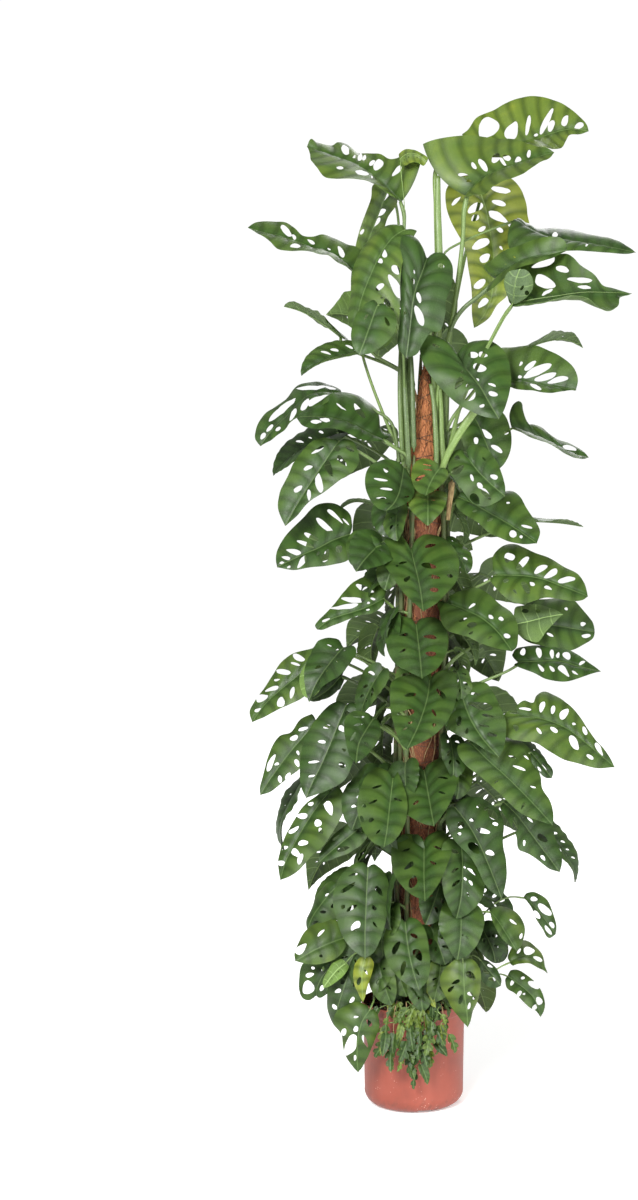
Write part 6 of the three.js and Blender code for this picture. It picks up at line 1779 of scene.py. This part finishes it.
# Pot: injection-moulded polypropylene with a matt, faintly grained skin, which scatters light
# softly. It fades pinker where light and water reach it, and limescale leaves pale specks.
pot = {
    "height": 180, "rim": 93, "rimDepth": 16, "rimProud": 3, "foot": 70, "footOut": 17, "cornerRise": 24,
    "wall": 2, "drains": 4, "drainWidth": 24, "drainRise": 6, "drainTurn": 15, "sides": 192,
    "colour": "#823b2b", "faded": "#8b4435", "dark": "#733325", "speck": "#d8bdae", "stain": "#643529",
    "grain": 0.5,       # mm, the moulded skin's grain
    "speckSize": 5.0,   # mm between limescale specks
    "fadeSize": 60.0,   # mm across a faded patch
}


def potSide(z):
    low = pot["foot"] + pot["footOut"]
    return low + (pot["rim"] - pot["rimProud"] - low) * z / pot["height"]


def arc(x, z, radius, start, stop, count):
    turns = np.radians(np.linspace(start, stop, count))
    return [(x + radius * math.cos(t), z + radius * math.sin(t)) for t in turns]


def potProfile():
    lip, height, wall = pot["rim"], pot["height"], pot["wall"]
    band = height - pot["rimDepth"]
    rise = pot["cornerRise"]
    outer = [(0.1, 4.0), (40, 4.0), (pot["foot"] - 14, 3.6), (pot["foot"] - 8, 0.8)]     # underside
    outer += arc(pot["foot"] - 5, 1.2, 1.2, 240, 280, 3)
    outer += arc(potSide(rise) - rise + 1.6, rise, rise - 1.2, 292, 354, 12)     # corner
    outer += [(potSide(z), z) for z in np.linspace(rise + 2, band - 2, 24)]
    outer += [(potSide(band) + 0.3, band - 1), (lip - 0.8, band + 0.2), (lip - 0.2, band + 0.8)]
    outer += [(lip, z) for z in np.linspace(band + 2, height - 2, 5)]     # rim
    outer += arc(lip - 1.4, height - 1.4, 1.4, 0, 180, 9)
    outer += [(lip - 3.0, height - 3), (lip - 3.2, band + 3), (potSide(band) - wall, band - 1)]
    outer += [(potSide(z) - wall, z) for z in np.linspace(band - 4, rise, 10)]     # inside
    outer += [(pot["foot"] + 2, 9), (pot["foot"] - 6, 6.2), (0.1, 6.2)]
    return outer


def makePot():
    def withDrains(radius, z, turns):
        half = pot["drainWidth"] / 2
        angle = turns - math.radians(90 + pot["drainTurn"]) + math.pi / pot["drains"]
        angle = angle % (2 * math.pi / pot["drains"])
        across = np.abs(angle - math.pi / pot["drains"]) * radius
        notch = np.clip((half + 2 - across) / 4, 0, 1)
        low = (z < pot["drainRise"]) & (radius > pot["foot"] - 20)
        raised = z + notch * (pot["drainRise"] - z) * low
        return radius, raised

    rings = turnedRings(potProfile(), pot["sides"], withDrains)
    heap = newHeap()
    co = rings.reshape(-1, 3)
    pile(heap, co, ringFaces(len(rings), pot["sides"]), 0, co, 0.0, 0.5)
    return heap


def potMaterial():
    material, tree, place = startMaterial("polypropylene_moulded_matt", "place")
    fade = addNode(tree, "TexNoise", {"Scale": 1 / pot["fadeSize"], "Detail": 3}, {"Vector": place})
    stops = [(0.3, pot["dark"]), (0.48, pot["colour"]), (0.7, pot["faded"])]
    ground = addNode(tree, "ValToRGB", {"stops": stops}, {"Fac": fade})
    streaks = addNode(tree, "Mapping", {"Scale": (1, 1, 0.12)}, {"Vector": place})
    run = addNode(tree, "TexNoise", {"Scale": 0.12, "Detail": 4}, {"Vector": streaks})
    runs = addNode(tree, "MapRange", {"from": (0.52, 0.75), "to": (0.0, 0.45)}, {0: run})
    washed = addNode(tree, "Mix", {**mixColour, 7: linear(pot["faded"])}, {0: runs, 6: ground})
    dots = addNode(tree, "TexVoronoi", {"Scale": 1 / pot["speckSize"]}, {"Vector": place})
    spot = addNode(tree, "MapRange", {"from": (0.1, 0.16), "to": (0.8, 0.0)}, {0: dots})
    few = addNode(tree, "TexNoise", {"Scale": 0.035, "Detail": 2}, {"Vector": place})
    where = addNode(tree, "MapRange", {"from": (0.5, 0.62)}, {0: few})
    specks = addNode(tree, "Math", {"operation": "MULTIPLY"}, {0: spot, 1: where})
    limed = addNode(tree, "Mix", {**mixColour, 7: linear(pot["speck"])}, {0: specks, 6: washed})
    apart = addNode(tree, "SeparateXYZ", {}, {0: place})
    low = addNode(tree, "MapRange", {"from": (4.0, 34.0), "to": (0.9, 0.0)}, {0: apart.outputs["Z"]})
    smear = addNode(tree, "TexNoise", {"Scale": 0.09, "Detail": 5}, {"Vector": place})
    smeared = addNode(tree, "MapRange", {"from": (0.5, 0.66)}, {0: smear})
    soiled = addNode(tree, "Math", {"operation": "MULTIPLY"}, {0: low, 1: smeared})
    stained = addNode(tree, "Mix", {**mixColour, 7: linear(pot["stain"])}, {0: soiled, 6: limed})
    grain = addNode(tree, "TexNoise", {"Scale": 1 / pot["grain"], "Detail": 1}, {"Vector": place})
    rough = addNode(tree, "MapRange", {"from": (0.3, 0.7), "to": (0.46, 0.62)}, {0: fade})
    bump = addNode(tree, "Bump", {"Strength": 0.25, "Distance": 0.0002}, {"Height": grain})
    return finishMaterial(material, {"IOR": 1.49},
                          {"Base Color": stained, "Roughness": rough, "Normal": bump})


makePiece("pot_moulded", makePot(), [potMaterial()], "pot", "pot")
print("pot made")


# Potting soil: dark damp peat, rough and light-swallowing, with paler bark bits and crumbs
soil = {
    "top": 168, "gap": 0.4, "sides": 120, "rings": 46, "heave": 3.0, "crumbs": 520, "seed": 11,
    "dark": "#241812", "brown": "#3d2a1e", "bark": "#6a4c34",
    "grit": 2.4,        # mm across a grain
}


# A crumb: a rough ball of three rings between two poles
def lumpShape(draw, size):
    sides = 7
    turn = np.linspace(0, 2 * math.pi, sides, endpoint=False)
    rings = [[(0, 0, -1)]]
    for tilt in (-0.9, -0.1, 0.7):
        wide, high = math.cos(tilt), math.sin(tilt)
        rings.append([(math.cos(t) * wide, math.sin(t) * wide, high) for t in turn])
    rings.append([(0, 0, 1)])
    co = np.array([p for ring in rings for p in ring], dtype=float)
    co *= 1 + 0.28 * (draw.random(len(co))[:, None] - 0.5)
    co *= size * (0.6 + 0.8 * draw.random(3))
    last = 1 + 2 * sides
    tri = []
    for i in range(sides):
        j = (i + 1) % sides
        tri += [(0, 1 + j, 1 + i), (last + sides, last + i, last + j)]
        for low in (1, 1 + sides):
            high = low + sides
            tri += [(low + i, low + j, high + j), (low + i, high + j, high + i)]
    angle = 6.3 * draw.random()
    cosine, sine = math.cos(angle), math.sin(angle)
    spin = np.array([[cosine, -sine, 0], [sine, cosine, 0], [0, 0, 1]])
    return co @ spin.T, np.array(tri)


def makeSoil():
    draw = np.random.default_rng(soil["seed"])
    edge = potSide(soil["top"]) - pot["wall"] - soil["gap"]
    rings = [(0.1, 7.4), (pot["foot"] - 6, 7.4), (potSide(20) - pot["wall"] - 3, 20)]
    rings += [(potSide(z) - pot["wall"] - soil["gap"], z) for z in np.linspace(40, soil["top"] - 5, 8)]
    reach = np.linspace(1, 0, soil["rings"]) ** 0.9
    rings += [(0.1 + (edge - 1.2) * r, soil["top"] - 2.5 * r ** 6 + 2 * (1 - r)) for r in reach]

    def heaved(radius, z, turns):
        x, y = radius * np.cos(turns), radius * np.sin(turns)
        lift = soil["heave"] * waves(x, y, 0 * x, 5, 9) + 1.2 * waves(x, y, 0 * x, 6, 2.6)
        return radius, z + np.where(z > soil["top"] - 4, lift, 0)

    surface = turnedRings(rings, soil["sides"], heaved)
    heap = newHeap()
    co = surface.reshape(-1, 3)
    pile(heap, co, ringFaces(len(surface), soil["sides"]), 0, co, 0.0, 0.3)
    for _ in range(soil["crumbs"]):
        away = edge * math.sqrt(draw.random()) * 0.96
        turn = 6.3 * draw.random()
        size = 1.0 + 3.2 * draw.random() ** 2
        co, tri = lumpShape(draw, size)
        spot = point(away * math.cos(turn), away * math.sin(turn), soil["top"] + 1.2 + 0.4 * size)
        pile(heap, co + spot, tri, 0, co + spot, 0.0, draw.random())
    return heap


def soilMaterial():
    material, tree, place, tone = startMaterial("potting_soil_damp", "place", "tone")
    grit = addNode(tree, "TexNoise", {"Scale": 1 / soil["grit"], "Detail": 4}, {"Vector": place})
    mixed = addNode(tree, "Math", {"operation": "MULTIPLY_ADD", 1: 0.6}, {0: tone, 2: grit})
    stops = [(0.45, soil["dark"]), (0.85, soil["brown"]), (1.0, soil["bark"])]
    ground = addNode(tree, "ValToRGB", {"stops": stops}, {"Fac": mixed})
    rough = addNode(tree, "MapRange", {"from": (0.3, 0.7), "to": (0.75, 0.98)}, {0: grit})
    bump = addNode(tree, "Bump", {"Strength": 0.8, "Distance": 0.001}, {"Height": grit})
    return finishMaterial(material, {"IOR": 1.4},
                          {"Base Color": ground, "Roughness": rough, "Normal": bump})


makePiece("soil_bed", makeSoil(), [soilMaterial()], "soil", "soil")
print("soil made")


# Coir: rough coconut fibre wound and stitched round the stake, springy strands that each catch
# the light, warm orange-brown where lit and deep brown in between
coir = {
    "sides": 96, "step": 6.0, "relief": 1.6, "strands": 1500, "strandRadius": 0.42, "strandsFrom": 170,
    "seed": 23, "dark": "#5a301b", "mid": "#9c6037", "lit": "#c68b57",
    "damp": (1000, 1170),     # mm of height: painted shade of the leaves above, full up to the first, none from the second
    "canopyShadeTone": 0.38,         # how much lower the tone is in that painted shade
    "fibre": 0.9,             # mm from one fibre to the next, coarser than real so that it shows
    "twinePitch": 36.0, "twineRadius": 0.63, "twineFrom": 180.0, "twineTo": pole["tipZ"] - 30,
    "twineDark": "#33271b", "twineColour": "#4c3a28",
}


def coirPoint(turn, z, proud):
    away = poleRadiusAt(z) + proud
    return poleAxis(z) + np.stack([away * np.cos(turn), away * np.sin(turn), 0 * away], axis=-1)


# Painted shade of the leaves: the coir's tone is lower below 1170 mm, fully so below 1000 mm
def canopyShade(z):
    low, high = coir["damp"]
    return coir["canopyShadeTone"] * np.clip((high - z) / (high - low), 0, 1)


def makeCoir():
    draw = np.random.default_rng(coir["seed"])
    heights = np.arange(pole["footZ"], pole["tipZ"], coir["step"])
    turns = np.linspace(0, 2 * math.pi, coir["sides"], endpoint=False)
    turn, z = np.meshgrid(turns, heights)
    radius = poleRadiusAt(z)
    x, y = pole["radius"] * np.cos(turn), pole["radius"] * np.sin(turn)
    relief = waves(x, y, 0.5 * z, 8, 4.5) + 0.5 * waves(x, y, z, 9, 1.8)
    relief = np.minimum(coir["relief"] * relief, 0.8) * np.clip(radius / 12, 0.15, 1)
    body = coirPoint(turn, z, relief - 0.6)
    tip = poleAxis(np.array([pole["tipZ"]]))
    co = np.concatenate([body.reshape(-1, 3), poleAxis(heights[:1]), tip])
    heap = newHeap()
    place = np.concatenate([
        np.stack([pole["radius"] * turn.ravel(), z.ravel(), 0 * z.ravel()], axis=1),
        [[0, 0, 0], [0, pole["tipZ"], 0]],
    ])
    skin = tubeFaces(len(heights), coir["sides"])
    pile(heap, co, skin, 0, place, 0.0, 0.45 - canopyShade(place[:, 1]))
    for _ in range(coir["strands"]):
        z0 = pick(draw, (coir["strandsFrom"], pole["tipZ"] - 8))
        turn0 = 6.3 * draw.random()
        lean = draw.normal() * 0.55
        reach = 14 + 34 * draw.random()
        share = np.linspace(-0.5, 0.5, 6)
        bend = draw.normal() * 5
        z = z0 + share * reach * math.cos(lean) + bend * (share ** 2)
        z = np.minimum(z, pole["tipZ"] - 2)
        size = np.maximum(poleRadiusAt(z), 4)
        turn = turn0 + (share * reach * math.sin(lean) + bend * share ** 2) / size
        loose = draw.random() ** 6 * 5
        proud = 0.3 + 0.9 * draw.random() + loose * np.abs(share) ** 1.5 * 3
        strand = coirPoint(turn, z, proud)
        addTube(heap, strand, coir["strandRadius"] * (0.7 + 0.7 * draw.random()), 0,
                draw.random() - canopyShade(z0), sides=3, seed=60 * draw.random())
    return heap


def makeTwine():
    z = np.arange(coir["twineFrom"], coir["twineTo"], 1.2)
    heap = newHeap()
    for start, way in ((0.0, 1), (2.2, -1)):     # one winding each way
        turn = start + way * 2 * math.pi * z / coir["twinePitch"] + 0.05 * np.sin(z / 7)
        path = coirPoint(turn, z, 1.1 + 0 * z)[::3]
        addTube(heap, path, coir["twineRadius"], 0, 0.5, sides=5)
    return heap


def fibreMaterial(name, stops, fibre, roughness):
    material, tree, place, tone = startMaterial(name, "place", "tone")
    drawn = addNode(tree, "Mapping", {"Scale": (1.0, 0.15, 1.0)}, {"Vector": place})
    fibres = addNode(tree, "TexNoise", {"Scale": 1 / fibre, "Detail": 4, "Distortion": 0.8},
                     {"Vector": drawn})
    shifted = addNode(tree, "Math", {"operation": "MULTIPLY_ADD", 1: 0.5, 2: -0.25}, {0: tone})
    mixed = addNode(tree, "Math", {"operation": "ADD"}, {0: fibres, 1: shifted})
    ground = addNode(tree, "ValToRGB", {"stops": stops}, {"Fac": mixed})
    bump = addNode(tree, "Bump", {"Strength": 0.8, "Distance": 0.0008}, {"Height": fibres})
    return finishMaterial(material, {"IOR": 1.5, "Roughness": roughness},
                          {"Base Color": ground, "Normal": bump})


coirStops = [(0.3, coir["dark"]), (0.5, coir["mid"]), (0.72, coir["lit"])]
twineStops = [(0.3, coir["twineDark"]), (0.7, coir["twineColour"])]
makePiece("coir_wrap", makeCoir(), [fibreMaterial("coir_needled", coirStops, coir["fibre"], 0.85)], "coir",
          "coir_sleeve")
makePiece("coir_twine", makeTwine(), [fibreMaterial("twine_twisted", twineStops, 0.6, 0.7)], "coir")
print("coir pole made")


# Stake: sawn softwood, unplaned, so its long grain shows as pale and brown streaks
wood = {"pale": "#c49a64", "brown": "#94683c", "grain": 3.0}


def woodMaterial():
    material, tree = startMaterial("softwood_sawn")
    spot = addNode(tree, "TexCoord").outputs["Object"]
    drawn = addNode(tree, "Mapping", {"Scale": (1.0, 1.0, 0.05)}, {"Vector": spot})
    grain = addNode(tree, "TexNoise", {"Scale": 1 / (wood["grain"] * mm), "Detail": 4}, {"Vector": drawn})
    stops = [(0.35, wood["brown"]), (0.65, wood["pale"])]
    ground = addNode(tree, "ValToRGB", {"stops": stops}, {"Fac": grain})
    bump = addNode(tree, "Bump", {"Strength": 0.5, "Distance": 0.0005}, {"Height": grain})
    return finishMaterial(material, {"IOR": 1.5, "Roughness": 0.8}, {"Base Color": ground, "Normal": bump})


stake = bpy.data.objects["pole_stake"]
if not stake.data.materials:
    stake.data.materials.append(None)
stakeWood = woodMaterial()
for slot in stake.material_slots:
    slot.material = stakeWood
print("stake dressed")


# Studio: a pale matt floor, even white light all round and three broad lamps: the strongest in
# front on the left, a weaker one on the right, and the weakest high up behind
studio = {
    "floorRadius": 9.0, "floorColours": ("#f9f9f8", "#fbfbfa"),
    "floorGlow": (0.25, 0.85),      # near the pot, and far off where the floor meets the paper
    "glowReach": (1.2, 4.0),        # metres from the pot between which that glow grows
    "paper": 1.03,                  # brightness of the white paper behind
    "ambient": 0.34,                # brightness of the light that comes back from the room
    "lamps": [
        {"name": "key", "at": (-1.4, -3.7, 2.6), "size": 1.8, "watts": 330},
        {"name": "fill", "at": (3.0, -2.8, 1.8), "size": 2.4, "watts": 150},
        {"name": "back", "at": (0.8, 3.0, 3.4), "size": 2.2, "watts": 60},
    ],
    "aim": (0, 0, 0.95),
}


def makeFloor():
    sides = 96
    rings = turnedRings([(0.001, 0), (0.5, 0), (2, 0), (studio["floorRadius"], 0)], sides)
    mesh = bpy.data.meshes.new("floor")
    mesh.from_pydata(rings.reshape(-1, 3).tolist(), [], ringFaces(4, sides)[:, ::-1].tolist())
    material, tree = startMaterial("floor_matt_paint")
    spot = addNode(tree, "TexCoord").outputs["Object"]
    mottle = addNode(tree, "TexNoise", {"Scale": 3.0, "Detail": 2}, {"Vector": spot})
    stops = [(0.0, studio["floorColours"][0]), (1.0, studio["floorColours"][1])]
    tint = addNode(tree, "ValToRGB", {"stops": stops}, {"Fac": mottle})
    away = addNode(tree, "VectorMath", {"operation": "LENGTH"}, {0: spot})
    glow = addNode(tree, "MapRange", {"from": studio["glowReach"], "to": studio["floorGlow"]},
                   {0: away.outputs["Value"]})
    finishMaterial(material, {"Roughness": 0.9, "Emission Color": (1, 1, 1, 1)},
                   {"Base Color": tint, "Emission Strength": glow})
    mesh.materials.append(material)
    floor = bpy.data.objects.new("floor", mesh)
    bpy.context.collection.objects.link(floor)


def lightStudio():
    for lamp in studio["lamps"]:
        light = bpy.data.lights.new(lamp["name"], "AREA")
        light.shape = "DISK"
        light.size = lamp["size"]
        light.energy = lamp["watts"]
        lightObject = bpy.data.objects.new(lamp["name"], light)
        lightObject.location = lamp["at"]
        toward = Vector(studio["aim"]) - Vector(lamp["at"])
        lightObject.rotation_euler = toward.to_track_quat("-Z", "Y").to_euler()
        bpy.context.collection.objects.link(lightObject)
    world = bpy.data.worlds.new("studio")
    world.use_nodes = True
    tree = world.node_tree
    tree.nodes.clear()
    paper = addNode(tree, "Background", {"Color": (1, 1, 1, 1), "Strength": studio["paper"]})
    room = addNode(tree, "Background", {"Color": (1, 1, 1, 1), "Strength": studio["ambient"]})
    directly = addNode(tree, "LightPath").outputs["Is Camera Ray"]
    both = addNode(tree, "MixShader", {}, {0: directly, 1: room, 2: paper})
    addNode(tree, "OutputWorld", {}, {"Surface": both})
    bpy.context.scene.world = world
    bpy.context.scene.view_settings.view_transform = "Standard"


makeFloor()
lightStudio()
print("studio lit")
